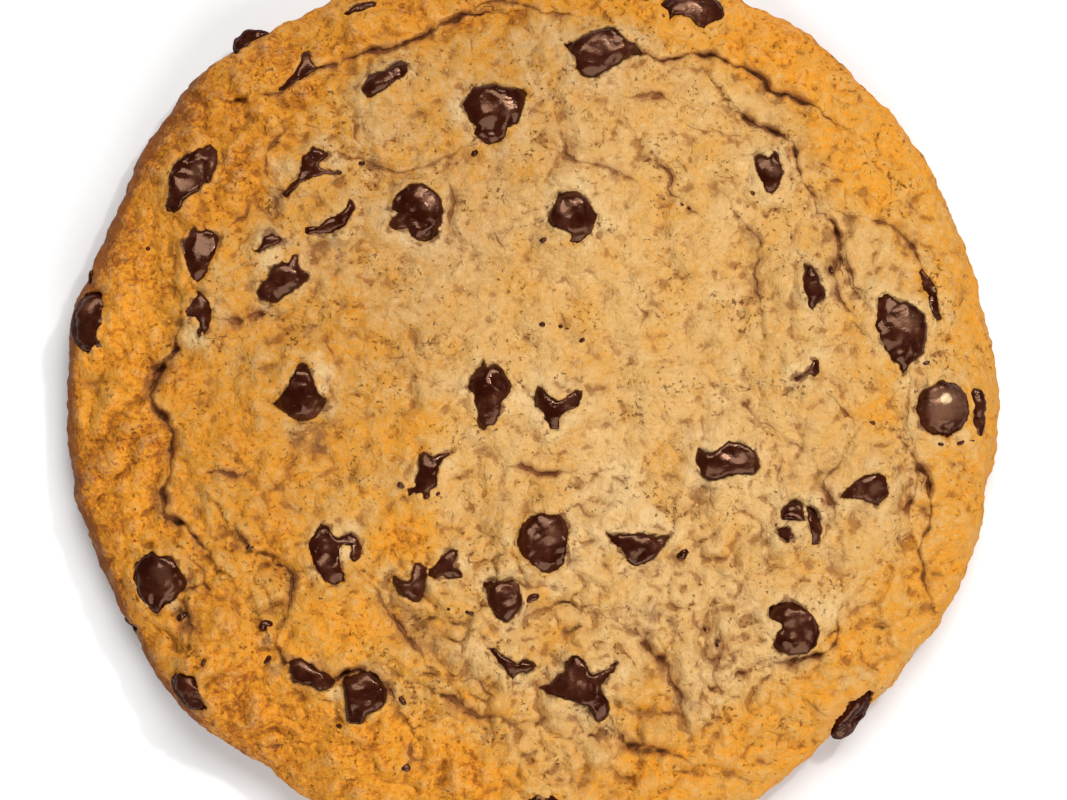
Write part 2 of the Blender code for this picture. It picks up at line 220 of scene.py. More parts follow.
# The opening in the dough that each morsel shows through, as closed loops.
openings = {
    "sliver_top": (
        ((-20.8, 42.5), (-19.5, 43.1), (-18, 43.7), (-16.8, 43.9), (-17.2, 43.3), (-18.6, 42.8),
         (-20, 42.4)),
    ),
    "edge_upper_left": (
        ((-33.5, 37.8), (-32.3, 38.3), (-31, 39.3), (-30.8, 39.9), (-29.8, 40.2), (-28.8, 40.5),
         (-28, 41.2), (-29.5, 42.4), (-32, 42), (-34.2, 39.5)),
    ),
    "crease_upper_left": (
        ((-27.6, 34.1), (-26.2, 35.6), (-25.2, 37.2), (-24.9, 38.2), (-24.2, 38.4), (-23.9, 38),
         (-24.1, 37.3), (-23.4, 36.8), (-22.3, 36.9), (-24.2, 35.9), (-25.8, 35), (-26.8, 34.2)),
    ),
    "upper_left": (
        ((-18.4, 33.9), (-18.2, 34.9), (-17.6, 35.8), (-16.6, 36.1), (-15.5, 36.2), (-14.8, 36.8),
         (-14.1, 37.2), (-13.6, 36.9), (-13.5, 36), (-14.2, 35.3), (-15.2, 34.9), (-16, 34.2),
         (-17.2, 33.4), (-18, 33.3)),
    ),
    "upper_middle": (
        ((-7.4, 32.5), (-7, 33.5), (-6.3, 34.3), (-5, 34.4), (-3.8, 34.5), (-2.4, 34.2), (-1.2, 34.3),
         (-0.4, 33.9), (-0.9, 32.9), (-1.2, 31.6), (-1.6, 30.4), (-2.8, 30), (-2.8, 29), (-3.6, 28.4),
         (-4.6, 28.2), (-5.6, 28.6), (-6.2, 29.4), (-5.7, 30.1), (-6.6, 31), (-7.2, 31.8)),
    ),
    "middle_left_big": (
        ((-14.9, 22), (-14.3, 23.1), (-13.2, 23.8), (-11.8, 23.9), (-10.6, 23.2), (-9.9, 22.2), (-9.7, 21),
         (-9.8, 19.6), (-10.3, 18.4), (-11.2, 17.8), (-12.3, 17.8), (-13, 18.5), (-13.4, 19.2),
         (-14.4, 19.1), (-15.4, 19.1), (-15.6, 19.8), (-14.6, 20.3), (-14.2, 20.9), (-15.3, 21.2)),
    ),
    "outer_left_top": (
        ((-34.9, 28.3), (-36.2, 27.7), (-37.8, 27.1), (-38.9, 25.9), (-39.3, 24), (-39.4, 22.4),
         (-39.6, 21.2), (-38.8, 20.9), (-38, 21.3), (-37.9, 22.2), (-37, 22.8), (-36, 23.2), (-35.7, 24.2),
         (-35, 24.2), (-34.6, 25.2), (-34.2, 26.3), (-34.2, 27.5)),
    ),
    "outer_left_mid": (
        ((-36.8, 19.2), (-37.2, 18.2), (-37.8, 17.7), (-37.5, 16.5), (-37.2, 15), (-36.8, 13.6),
         (-36.1, 13.2), (-35.4, 13.8), (-35, 15), (-34.4, 16.2), (-33.9, 17.2), (-33.9, 18.3),
         (-34.5, 18.7), (-35.5, 18.8), (-36.4, 18.5)),
    ),
    "outer_left_low": (
        ((-36.3, 12.5), (-36.3, 11.6), (-36.9, 10.9), (-37.6, 10.3), (-37.2, 9.6), (-36.4, 9.6), (-35.9, 9),
         (-35.5, 7.8), (-34.9, 8.4), (-34.6, 10), (-34.9, 11.2), (-35.6, 12.2)),
    ),
    "sliver_left": (
        ((-24.9, 26.7), (-24.2, 27.3), (-23.7, 27.8), (-22.9, 27.6), (-22.2, 27.2), (-22.6, 26.8),
         (-23.1, 25.8), (-22.4, 25.4), (-20.6, 25.4), (-20.6, 25.1), (-22.6, 25.1), (-24.6, 24.4),
         (-26, 23.3), (-26.6, 22.4), (-27, 22.8), (-26.4, 23.6), (-25.3, 24.6), (-25.1, 25.8)),
    ),
    "slit_left": (
        ((-24.6, 18.4), (-24.5, 19.2), (-23.2, 19.4), (-22.2, 20.1), (-20.8, 20.7), (-20, 21.3),
         (-19.7, 22.3), (-19.3, 22), (-19.1, 21.2), (-19.6, 20.4), (-20.3, 19.3), (-21.5, 18.7),
         (-23, 18.5)),
    ),
    "inner_left": (
        ((-29.8, 12.1), (-29.3, 13), (-28.6, 13.3), (-28.5, 14.1), (-27.6, 14.9), (-27.1, 15.4),
         (-26.3, 15.3), (-26, 16.2), (-25.3, 16.3), (-25.3, 15.4), (-24.9, 14.6), (-24.1, 14.1),
         (-24.3, 13.6), (-25, 13.2), (-25.7, 12.3), (-26.8, 11.8), (-27.4, 11), (-28.3, 11), (-28.7, 11.5),
         (-29.4, 11.5)),
    ),
    "speck_left": (
        ((-30.1, 16.6), (-29, 17.4), (-28.8, 18.1), (-28.2, 18.5), (-27.6, 18.1), (-26.8, 18),
         (-27.6, 17.5), (-28.6, 17.1), (-29.6, 16.6)),
    ),
    "side_left": (
        ((-48.9, 13.8), (-47.6, 13.3), (-46.9, 12.2), (-46.6, 10.5), (-46.9, 8.8), (-47.5, 7.2), (-48.2, 6),
         (-49, 5.3), (-52, 5), (-53, 10), (-52, 14)),
    ),
    "top_right": (
        ((14, 43.4), (14.5, 42.8), (15, 41.8), (16, 42.3), (17, 42), (18, 41.2), (18.7, 40.8), (19.2, 41.4),
         (20, 41.8), (20.8, 41.9), (21, 42.6), (20.4, 43.6), (19.4, 44.2), (17.8, 44.6), (16.2, 44.4),
         (15, 44.3), (14.4, 43.9)),
    ),
    "top_middle": (
        ((3.4, 39.2), (4.4, 39.2), (5.2, 39.6), (6.2, 40.3), (7.4, 40.7), (8.8, 40.6), (9.8, 40),
         (10.6, 39.3), (11.5, 38.4), (12.2, 37.9), (10.8, 38), (9.9, 37.3), (8.8, 36.7), (7.6, 36),
         (6.4, 35.5), (5.4, 35.7), (4.9, 36.6), (4.7, 37.6), (4.2, 38.4), (3.5, 38.6)),
    ),
    "middle_top": (
        ((4, 23.2), (3, 22.7), (2.5, 21.7), (2, 20.7), (1.7, 20), (2.2, 19.4), (3, 19), (3.8, 19),
         (4.3, 18.6), (4.2, 17.8), (4.9, 17.4), (5.7, 17.9), (6.5, 18.6), (6.9, 19.6), (7.1, 20.5),
         (6.5, 21.2), (5.9, 22), (5.3, 22.8), (4.6, 23.2)),
    ),
    "right_top": (
        ((24, 26.9), (24.7, 27), (25.6, 26.9), (26.3, 27.6), (26.9, 26.4), (27.2, 25), (26.7, 23.6),
         (25.9, 22.8), (25.2, 23.4), (24.7, 24.3), (24.3, 25.6)),
    ),
    "right_inner": (
        ((29.3, 15.4), (30.1, 15), (30.7, 14), (31.2, 12.9), (31.6, 11.9), (31, 11.5), (30.7, 10.9),
         (30.2, 10.4), (29.8, 11.4), (29.5, 12.5), (29.4, 13.7), (29.6, 14.6)),
    ),
    "right_big": (
        ((37.4, 10.4), (37.7, 12), (38.6, 12.2), (39.2, 11.2), (40.4, 11), (41.6, 10.7), (42.4, 9.7),
         (42.7, 8.4), (42.5, 6.9), (42.3, 5.8), (41.5, 5), (40.6, 4.3), (40.2, 3.2), (39.7, 4.2), (39, 4.9),
         (38.3, 5.9), (37.6, 7.3), (37.2, 8.6)),
    ),
    "right_sliver": (
        ((41.8, 14.4), (42.3, 15), (43.2, 13.9), (43.9, 12.4), (44, 10.5), (44.5, 9.3), (43.9, 9.1),
         (43.3, 10.2), (42.9, 11.8), (42.3, 13)),
    ),
    "right_round": (
        ((41.6, -0.8), (41.9, 0.9), (42.8, 2), (44.4, 2.7), (46, 2.3), (47.1, 1.2), (47.6, -0.2),
         (47.3, -1.6), (46.4, -2.8), (45, -3.4), (43.4, -3.1), (42.2, -2.2)),
    ),
    "right_small": (
        ((28.3, 3), (29.2, 3.4), (30, 3.9), (30.3, 4.9), (30.9, 4.8), (31.1, 3.6), (30.7, 2.9), (30, 3.3),
         (29.2, 3), (28.6, 2.6)),
    ),
    "left_triangle": (
        ((-25.5, 4.3), (-25.2, 4.7), (-24.6, 4.6), (-24.1, 4), (-23.9, 3), (-23.5, 1.9), (-23.1, 1.1),
         (-22.2, 0.8), (-22.3, -0.3), (-23.2, -1.2), (-24.4, -1.7), (-25.8, -1.5), (-27, -0.6),
         (-27.9, 0.1), (-27.1, 0.9), (-26.5, 1.8), (-26.1, 2.8), (-25.5, 3.4)),
    ),
    "centre_tall": (
        ((-6.9, 2), (-6.4, 3.2), (-5.6, 4), (-5.2, 4.8), (-4.7, 4.1), (-4, 4.3), (-3.2, 4), (-2.8, 3),
         (-2.1, 2), (-2.6, 1), (-3.2, 0.4), (-3.5, -0.8), (-3.9, -2.1), (-4.8, -2.2), (-5.2, -2.7),
         (-5.8, -2.4), (-5.9, -1.4), (-6.1, 0), (-6.2, 1.2)),
    ),
    "centre_vee": (
        ((0.2, 1.1), (0.5, 2.2), (1.2, 1.6), (2, 0.9), (2.9, 0.4), (3.7, 0.9), (4.6, 1.6), (5.5, 1.7),
         (5.1, 0), (4.2, -0.5), (3.3, -1.1), (2.9, -2.5), (1.9, -2.7), (1.3, -1.6), (1.5, -1), (0.4, -0.1)),
    ),
    "below_left": (
        ((-12.2, -5.4), (-11.4, -5.1), (-10.6, -5.6), (-9.6, -5.3), (-8.6, -5.1), (-9.6, -5.9), (-10, -6.6),
         (-10.4, -7.6), (-10.5, -8.6), (-11.1, -9.1), (-11.1, -10), (-11.7, -10.2), (-12, -9.5),
         (-12.8, -9.4), (-13.3, -9.8), (-13.4, -9.2), (-12.5, -8.7), (-12.4, -7.6), (-12.3, -6.4)),
    ),
    "right_bean": (
        ((17.6, -4.2), (18.3, -4.5), (18.8, -5.2), (19.6, -5.4), (20.3, -4.6), (21.2, -4), (22.5, -4.2),
         (23.6, -4.8), (24.4, -5.8), (24.7, -6.8), (24.2, -7.4), (22.8, -7.2), (21.2, -7.6), (19.6, -7.9),
         (18.4, -7.6), (17.8, -6.4)),
    ),
    "right_low": (
        ((33.3, -10.1), (34, -9.2), (35, -8.2), (35.9, -7.6), (37, -7.4), (38.2, -7.6), (38.5, -8.5),
         (38.6, -9.6), (38.1, -10.6), (37.2, -11), (36.4, -10.5), (35.6, -10.1), (34.4, -10.2)),
    ),
    "covered_right": (
        ((27, -11.4), (27.4, -10.8), (28.3, -10.3), (29.1, -10.7), (29.4, -11.5), (29.5, -12.6),
         (28.8, -12.4), (28, -12.1), (27.1, -12.3)),
        ((29.7, -10.9), (30.6, -11.2), (31.2, -12.3), (31.3, -13.7), (31, -15), (30.3, -15.1),
         (30.2, -13.8), (29.9, -12.6)),
        ((26.6, -13.4), (27.6, -13.2), (28.3, -14.1), (27.6, -14.7), (26.8, -14.2)),
    ),
    "comma_right": (
        ((25.4, -22.3), (25.8, -21.7), (27, -21.3), (28.4, -21.4), (29.6, -22.1), (30.7, -23.2),
         (31.2, -24.4), (30.8, -25.8), (29.8, -26.7), (28.4, -27), (26.9, -26.7), (26, -26), (26.6, -25),
         (26.9, -24), (26.6, -23.4), (25.6, -23.1)),
    ),
    "big_below": (
        ((-0.9, -12.8), (0, -12), (1.4, -11.7), (2.8, -11.9), (3.8, -12.7), (4, -13.8), (3.6, -14.6),
         (3.7, -15.6), (3.6, -16.8), (2.9, -18), (1.8, -18.4), (0.8, -17.9), (-0.3, -17), (-1.2, -16.3),
         (-1.6, -15), (-1.4, -13.7)),
    ),
    "eye_below": (
        ((8, -13.8), (9, -14.1), (10, -14.1), (11, -13.9), (12.2, -14.1), (13.4, -14.4), (14.7, -14.2),
         (14.2, -15.3), (13.3, -16.3), (12.2, -17.1), (11.2, -17.3), (10.2, -16.8), (9.9, -15.9),
         (9.2, -15.1), (8.4, -14.7)),
    ),
    "small_below": (
        ((-5.4, -19.2), (-4.6, -19), (-3.4, -19.1), (-2, -18.8), (-1.3, -19.3), (-1.1, -20.5),
         (-1.3, -21.5), (-1.9, -22.6), (-2.7, -23.4), (-3.6, -22.8), (-4.2, -22), (-4.7, -20.9),
         (-5, -20.2)),
    ),
    "left_below": (
        ((-22.8, -12.8), (-21.9, -13.2), (-21.3, -14.2), (-20.6, -14.3), (-19.6, -13.9), (-18.9, -14.4),
         (-18.5, -15.5), (-18.6, -16.6), (-19.2, -16.9), (-19.7, -16.3), (-19.6, -15.3), (-20.4, -14.9),
         (-20.9, -15.4), (-20.9, -16.5), (-20.6, -17.6), (-20, -18.2), (-20.2, -19.1), (-21.3, -19.5),
         (-22.5, -19), (-23.1, -18), (-23.7, -16.9), (-24.2, -15.7), (-23.9, -14.3), (-23.3, -13.3)),
    ),
    "pair_left": (
        ((-12.8, -16.8), (-12, -17), (-11.4, -17.6), (-11.4, -18.6), (-11.6, -19.5), (-11.7, -20.6),
         (-12, -21.3), (-12.9, -21.1), (-14.2, -20.4), (-14.9, -19.3), (-14.9, -18.6), (-14.2, -19.1),
         (-13.3, -19.2), (-12.9, -18.5), (-12.9, -17.6)),
    ),
    "pair_right": (
        ((-11, -17.6), (-10.2, -17), (-9.4, -16.3), (-8.8, -15.6), (-8, -15.7), (-8.4, -16.6),
         (-8.6, -17.3), (-7.8, -17.8), (-7.5, -18.6), (-8.4, -18.9), (-9.6, -18.5), (-10.6, -18.9),
         (-11.2, -18.5)),
    ),
    "outer_left_big": (
        ((-41.2, -15.8), (-40.4, -16.4), (-39.2, -16.5), (-38.6, -17.3), (-38, -18.3), (-37.7, -19.5),
         (-38.3, -20.5), (-39, -21.3), (-40.2, -21.5), (-40.6, -22.6), (-41.2, -22.4), (-41.6, -21.5),
         (-42.2, -21), (-42.9, -20), (-43.3, -18.8), (-43, -17.5), (-42.2, -16.6)),
    ),
    "edge_lower_left": (
        ((-39.8, -29.9), (-38.6, -29.5), (-37.4, -29.1), (-36.5, -29.5), (-36.2, -30.8), (-35.9, -32),
         (-35.3, -33.2), (-34.9, -34.3), (-36, -36), (-39.5, -35), (-42.5, -31.5), (-41.2, -30)),
    ),
    "edge_left_sliver": (
        ((-46.5, -22.8), (-44.6, -23.7), (-43.4, -24.2), (-42.8, -24.9), (-43.5, -25.6), (-45, -26),
         (-47.5, -24.6)),
    ),
    "lower_left_long": (
        ((-26.2, -27.6), (-25.2, -27.5), (-24.2, -28.1), (-23, -28.9), (-22, -29.2), (-21.5, -29.8),
         (-22, -30.7), (-22.8, -31), (-23.8, -30.3), (-24.8, -30), (-25.8, -29.9), (-26.3, -28.8)),
    ),
    "lower_left": (
        ((-20.3, -29.5), (-19.4, -29.2), (-17.8, -29.1), (-16.4, -29.9), (-15.8, -31), (-15.9, -32.2),
         (-16.6, -33), (-17.8, -33.3), (-18.4, -34.3), (-19.3, -34.6), (-20.1, -33.9), (-20.2, -32.5),
         (-20.4, -31)),
    ),
    "lower_star": (
        ((4.8, -26.8), (5.3, -27.5), (5.9, -28.4), (6.5, -29.3), (7, -28.9), (8, -28.6), (9.2, -27.8),
         (8.9, -28.8), (8, -29.5), (7.5, -30.2), (7.4, -31), (8, -31.8), (8.3, -33), (7.9, -34), (7, -34.1),
         (6.6, -33.2), (6.1, -32.4), (4.8, -31.9), (3.2, -31.6), (1.8, -31.1), (0.8, -30.6), (2, -30.1),
         (2.8, -29.4), (3.7, -29), (4, -28), (4.3, -27.3)),
    ),
    "squiggle": (
        ((-4.7, -26.3), (-4, -26.3), (-3.4, -27), (-2.5, -27.6), (-1.6, -27.9), (-0.6, -27.6), (0.5, -28.2),
         (-0.4, -28.7), (-1.4, -28.9), (-2.1, -29.6), (-2.6, -29), (-3, -28.2), (-3.8, -27.5),
         (-4.4, -26.9)),
    ),
    "edge_lower_right": (
        ((35, -30), (36.4, -30.3), (38, -31.5), (36.5, -36), (34.5, -38), (33, -37.6), (32, -36.6),
         (32.2, -35.4), (32.8, -34.6), (33, -33.5), (33.6, -32.3), (34.4, -31.2)),
    ),
    "bottom": (
        ((-1.1, -43.8), (-0.3, -43), (0.5, -42.6), (1.3, -43), (2, -42.5), (3, -42.8), (2.8, -44.5),
         (1, -45), (-0.8, -44.8)),
    ),
}


def chipPlan(name):
    # Centre, half axes and direction of a morsel as its solid has them, seen from above, with its openings.
    places = cornerPlaces(frame["nodes"][name].data) / mm
    low, high = places.min(axis=0), places.max(axis=0)
    middle = (low + high) / 2.0
    spread = places[:, :2] - middle[:2]
    _, axes = np.linalg.eigh(spread.T @ spread)
    return {
        "name": name,
        "x": middle[0],
        "y": middle[1],
        "along": axes[:, 1],
        "across": axes[:, 0],
        "halfLength": np.abs(spread @ axes[:, 1]).max(),
        "halfWidth": np.abs(spread @ axes[:, 0]).max(),
        "loops": openings[name.removeprefix("chip_")],
    }


chipNames = sorted(name for name in frame["nodes"] if name.startswith("chip_"))
chips = [chipPlan(name) for name in chipNames]
print("morsels placed by the solids:", len(chips))

morsel = {
    "voxel": 0.28,
    "quickVoxel": 0.5,
    "reach": 0.93,          # how far out on a morsel its opening may come
    # Morsels in the rim: how far each is moved in x, y and z, and its length and width against its solid's.
    "atRim": {
        "edge_upper_left": (0.0, 0.0, 0.0, 1.0, 1.0),
        "side_left": (0.0, 0.0, 0.0, 1.0, 1.0),
        "edge_lower_left": (0.35, 0.35, 0.0, 1.0, 0.95),
        "edge_left_sliver": (1.4, 0.1, 0.4, 0.9, 0.8),
        "edge_lower_right": (-0.4, 1.1, 1.2, 1.14, 1.12),
        "bottom": (0.0, 0.0, 0.0, 1.0, 1.0),
    },
    "ridgeSize": 2.6,
    "ridge": 0.24,
    "grainSize": 1.1,
    "grain": 0.09,
    "flatter": 0.78,        # share kept of a morsel's height above the crust
    "sunk": 1.7,            # how far below the crust a morsel lies beyond its opening
    "rimReach": 4.5,        # how far from its middle a morsel in the rim keeps its skin unsunk
    "sideFrom": 44.0,       # how far out the steep skin takes the duller finish
    "facetSlope": (-0.21, -0.26),
    "facetPull": 0.65,      # how much of the way to a flat facet the skin goes
    # Where a morsel's skin is flat and catches the light: x, y, radius.
    "facets": (
        (41.4, 9.6, 1.1), (44.9, 0.2, 1.6), (37.8, -8.4, 0.7), (36.8, -9.9, 0.4), (19.3, -5.6, 0.5),
        (22.4, -5.2, 0.7), (-2.2, 32.4, 0.8), (-14.7, 36, 0.5), (-35.9, 25.8, 0.7), (-37.2, 23.9, 0.5),
        (-11.2, 22.3, 0.8), (5.2, 21, 0.7), (3.4, 22, 0.4), (-25.5, -0.5, 0.5), (-24.9, 3.2, 0.4),
        (-26.4, 13.6, 0.5), (-40, -18.1, 1), (-41.6, -19.2, 0.5), (-17.8, -30.6, 0.6), (-19, -32, 0.4),
        (2.2, -13.6, 0.9), (3, -15, 0.5), (12.4, -15, 0.6), (10.8, -15.4, 0.4), (-2.4, -20.4, 0.6),
        (29.4, -23.4, 0.7), (28.4, -26, 0.4), (18.6, 43.2, 0.7), (16, 43.2, 0.4), (8.4, 39.2, 0.6),
        (6, 38.6, 0.5), (26, 25.4, 0.5), (-3.6, 2.4, 0.5), (-5, -0.6, 0.4), (3.6, 0.2, 0.4),
        (-48.4, 10.2, 1.1), (-35.4, 16.8, 0.5), (-22.3, -14.6, 0.5), (5.4, -29, 0.5), (6.4, -31.4, 0.4),
        (-11, -6.6, 0.4), (30.2, 13.4, 0.4),
    ),
    # Painted sheen and highlights on a morsel's skin, where it would reflect the lamps: x, y, radius,
    # amount.
    "paintedSheen": (
        (44.8, 0.1, 2.4, 0.6), (44.9, 0.7, 0.85, 1.5), (41.2, 9.4, 1.3, 0.4), (-40.2, -18, 1.6, 0.4),
        (-48.8, 11, 1.2, 0.25), (3.4, 21.4, 1.1, 0.4), (-11.2, 21.8, 1.2, 0.35), (2.4, -14.2, 1, 0.35),
        (-2.6, 32, 1.1, 0.3), (8, 39, 1, 0.3), (26.2, 25.2, 0.9, 0.45), (-36.2, 25.4, 1, 0.35),
        (17.4, 43, 1.4, 0.3), (33.8, -32.8, 1.2, 0.3), (37.2, -8.8, 0.9, 0.35),
    ),
    # Where a morsel has sunk or kept its tip: x, y, radius, depth.
    "dents": (
        (44.6, -0.4, 2.1, 0.4), (44.6, 0.3, 0.7, -0.3), (1.9, -16, 1.5, 0.9), (-36.6, 24.6, 1.3, 0.7),
        (-12.6, 20.4, 1.4, 0.4), (-35, 17.6, 1, 0.3), (-4.3, 29.9, 0.9, 0.7), (5.2, -29.6, 0.8, 0.5),
        (11.3, -16.4, 1.4, 0.5), (39.6, 6.4, 1, 0.35), (38.4, 8.6, 1.1, 0.3), (28.3, -24.4, 1.2, 0.5),
        (-17.8, -31.4, 1.2, 0.5), (-2.6, -20.8, 1, 0.4), (7, 38, 1.2, 0.35), (37.6, -9, 0.8, 0.3),
        (-22, -16, 1.1, 0.5), (-40.6, -19.6, 1.2, 0.35), (22, -5.6, 1.1, 0.3), (4.1, 21, 1, 0.3),
    ),
}


def fitted(body, chip):
    # Widens a morsel until it fills its opening; one in the rim is only moved and sized as listed.
    name = chip["name"].removeprefix("chip_")
    moveX, moveY, moveZ, longer, wider = morsel["atRim"].get(name, (0.0, 0.0, 0.0, 1.0, 1.0))
    if name not in morsel["atRim"]:
        spots = np.array([spot for loop in chip["loops"] for spot in loop]) - (chip["x"], chip["y"])
        long = np.abs(spots @ chip["along"]) / (morsel["reach"] * chip["halfLength"])
        wide = np.abs(spots @ chip["across"]) / (morsel["reach"] * chip["halfWidth"])
        longer, wider = max(1.0, long.max()), max(1.0, wide.max())
        corner = max(1.0, np.hypot(long / longer, wide / wider).max() * morsel["reach"])
        longer, wider = longer * corner, wider * corner
    turn = Matrix.Rotation(math.atan2(chip["along"][1], chip["along"][0]), 4, "Z")
    own = (Matrix.Translation((chip["x"] * mm, chip["y"] * mm, 0.0)) @ turn).inverted()
    bmesh.ops.scale(body, vec=(longer, wider, 1.0), space=own, verts=body.verts)
    bmesh.ops.translate(body, vec=(moveX * mm, moveY * mm, moveZ * mm), verts=body.verts)


def dullSides(mesh, sideMaterial):
    # The steep skin of morsels in the cookie's edge takes the duller finish.
    mesh.materials.append(sideMaterial)
    for face in mesh.polygons:
        if face.normal.z < 0.6 and face.center.xy.length > morsel["sideFrom"] * mm:
            face.material_index = 1


def buildChips(material, sideMaterial):
    bm = bmesh.new()
    for chip in chips:
        body = bmesh.new()
        body.from_mesh(frame["nodes"][chip["name"]].data)
        bmesh.ops.remove_doubles(body, verts=body.verts, dist=0.01 * mm)
        fitted(body, chip)
        bmesh.ops.subdivide_edges(body, edges=body.edges, cuts=3, smooth=1.0, use_grid_fill=True)
        for _ in range(3):
            bmesh.ops.smooth_vert(body, verts=body.verts, factor=0.5,
                                  use_axis_x=True, use_axis_y=True, use_axis_z=True)
        scratch = finishedMesh("chipScratch", body)
        bm.from_mesh(scratch)
        bpy.data.meshes.remove(scratch)
    mesh = evenFaces("chipBodies", finishedMesh("chocolate_chips", bm), morsel)
    places = cornerPlaces(mesh) / mm
    normals = cornerNormals(mesh)
    ridges = np.abs(grain(places, morsel["ridgeSize"], 2, 21.0))
    move = -morsel["ridge"] * 2.0 * ridges + morsel["grain"] * grain(places, morsel["grainSize"], 2, 22.0)
    places += normals * move[:, None]
    for px, py, radius, depth in morsel["dents"]:
        close = bump(radiiFrom(places[:, 0], places[:, 1], px, py, radius))
        places[:, 2] -= depth * close * smoothStep(-0.1, 0.5, normals[:, 2])
    x, y, z = places.T.copy()
    for px, py, radius in morsel["facets"]:
        away = radiiFrom(x, y, px, py, radius)
        flat = smoothStep(1.6, 0.4, away) * smoothStep(0.2, 0.6, normals[:, 2]) * (z > 6.0)
        if flat.max() > 0.0:
            plane = morsel["facetSlope"][0] * (x - px) + morsel["facetSlope"][1] * (y - py)
            middle = np.average(z - plane, weights=flat)
            places[:, 2] += morsel["facetPull"] * flat * (middle + plane - places[:, 2])
    crust = broadTop(x, y)
    places[:, 2] -= (1.0 - morsel["flatter"]) * np.maximum(places[:, 2] - crust, 0.0)
    moveCorners(mesh, places * mm)
    heights = heightFinder(mesh)
    atRim = [np.hypot(x - chip["x"], y - chip["y"]) < morsel["rimReach"] for chip in chips
             if chip["name"].removeprefix("chip_") in morsel["atRim"]]
    hidden = smoothStep(0.0, -0.35, openingDistance(x, y, 4.0)) * ~np.any(atRim, axis=0)
    places[:, 2] -= np.maximum(places[:, 2] - crust + morsel["sunk"], 0.0) * hidden
    moveCorners(mesh, places * mm)
    paint(mesh, "flank", smoothStep(0.8, 0.35, cornerNormals(mesh)[:, 2]))
    # Painted sheen and highlight spots on the morsels.
    paint(mesh, "paintedSheen", strongestMark(x, y, morsel["paintedSheen"], 1.3, 0.4))
    mesh.name = "chocolate_chips"
    print("morsels:", len(mesh.polygons), "faces")
    newPiece("chocolate_chips", mesh, material, "chocolate", *chipNames)
    dullSides(mesh, sideMaterial)
    return heights


dough = {
    "edgeRadius": 50.2,
    "topHeight": 11.7,
    "widestHeight": 4.2,
    "baseRadius": 47.6,
    "shoulderPower": 6.0,
    "turnSteps": 96,
    "topRings": 18,
    "sideRings": 8,
    "oval": 0.75,
    "edgeLobes": (          # direction in degrees, height, half width in degrees
        (15.0, -0.5, 9.0),
        (50.0, 0.5, 8.0),
        (120.0, -0.4, 7.0),
        (136.0, 1.05, 9.0),
        (156.0, -0.45, 8.0),
        (204.0, -0.6, 8.0),
        (219.0, 0.45, 6.0),
        (231.0, -0.7, 6.0),
        (313.0, -1.3, 10.0),
    ),
    "edgeWaver": (          # waves, height, start
        (13, 0.12, 0.4),
        (19, 0.13, 2.1),
        (31, 0.1, 4.0),
        (47, 0.06, 1.0),
    ),
    "swellSize": 13.0,
    "swellHeight": 0.75,
    "lumpSize": 5.5,
    "lumpHeight": 0.4,
    "moundHeight": 0.55,
    "moundSpread": 1.15,
    "reliefFrom": 3.5,
    "reliefFull": 8.5,
    "bakeSeed": 27.0,
    "voxel": 0.25,
    "quickVoxel": 0.6,
    "mostFaces": 192000,
}

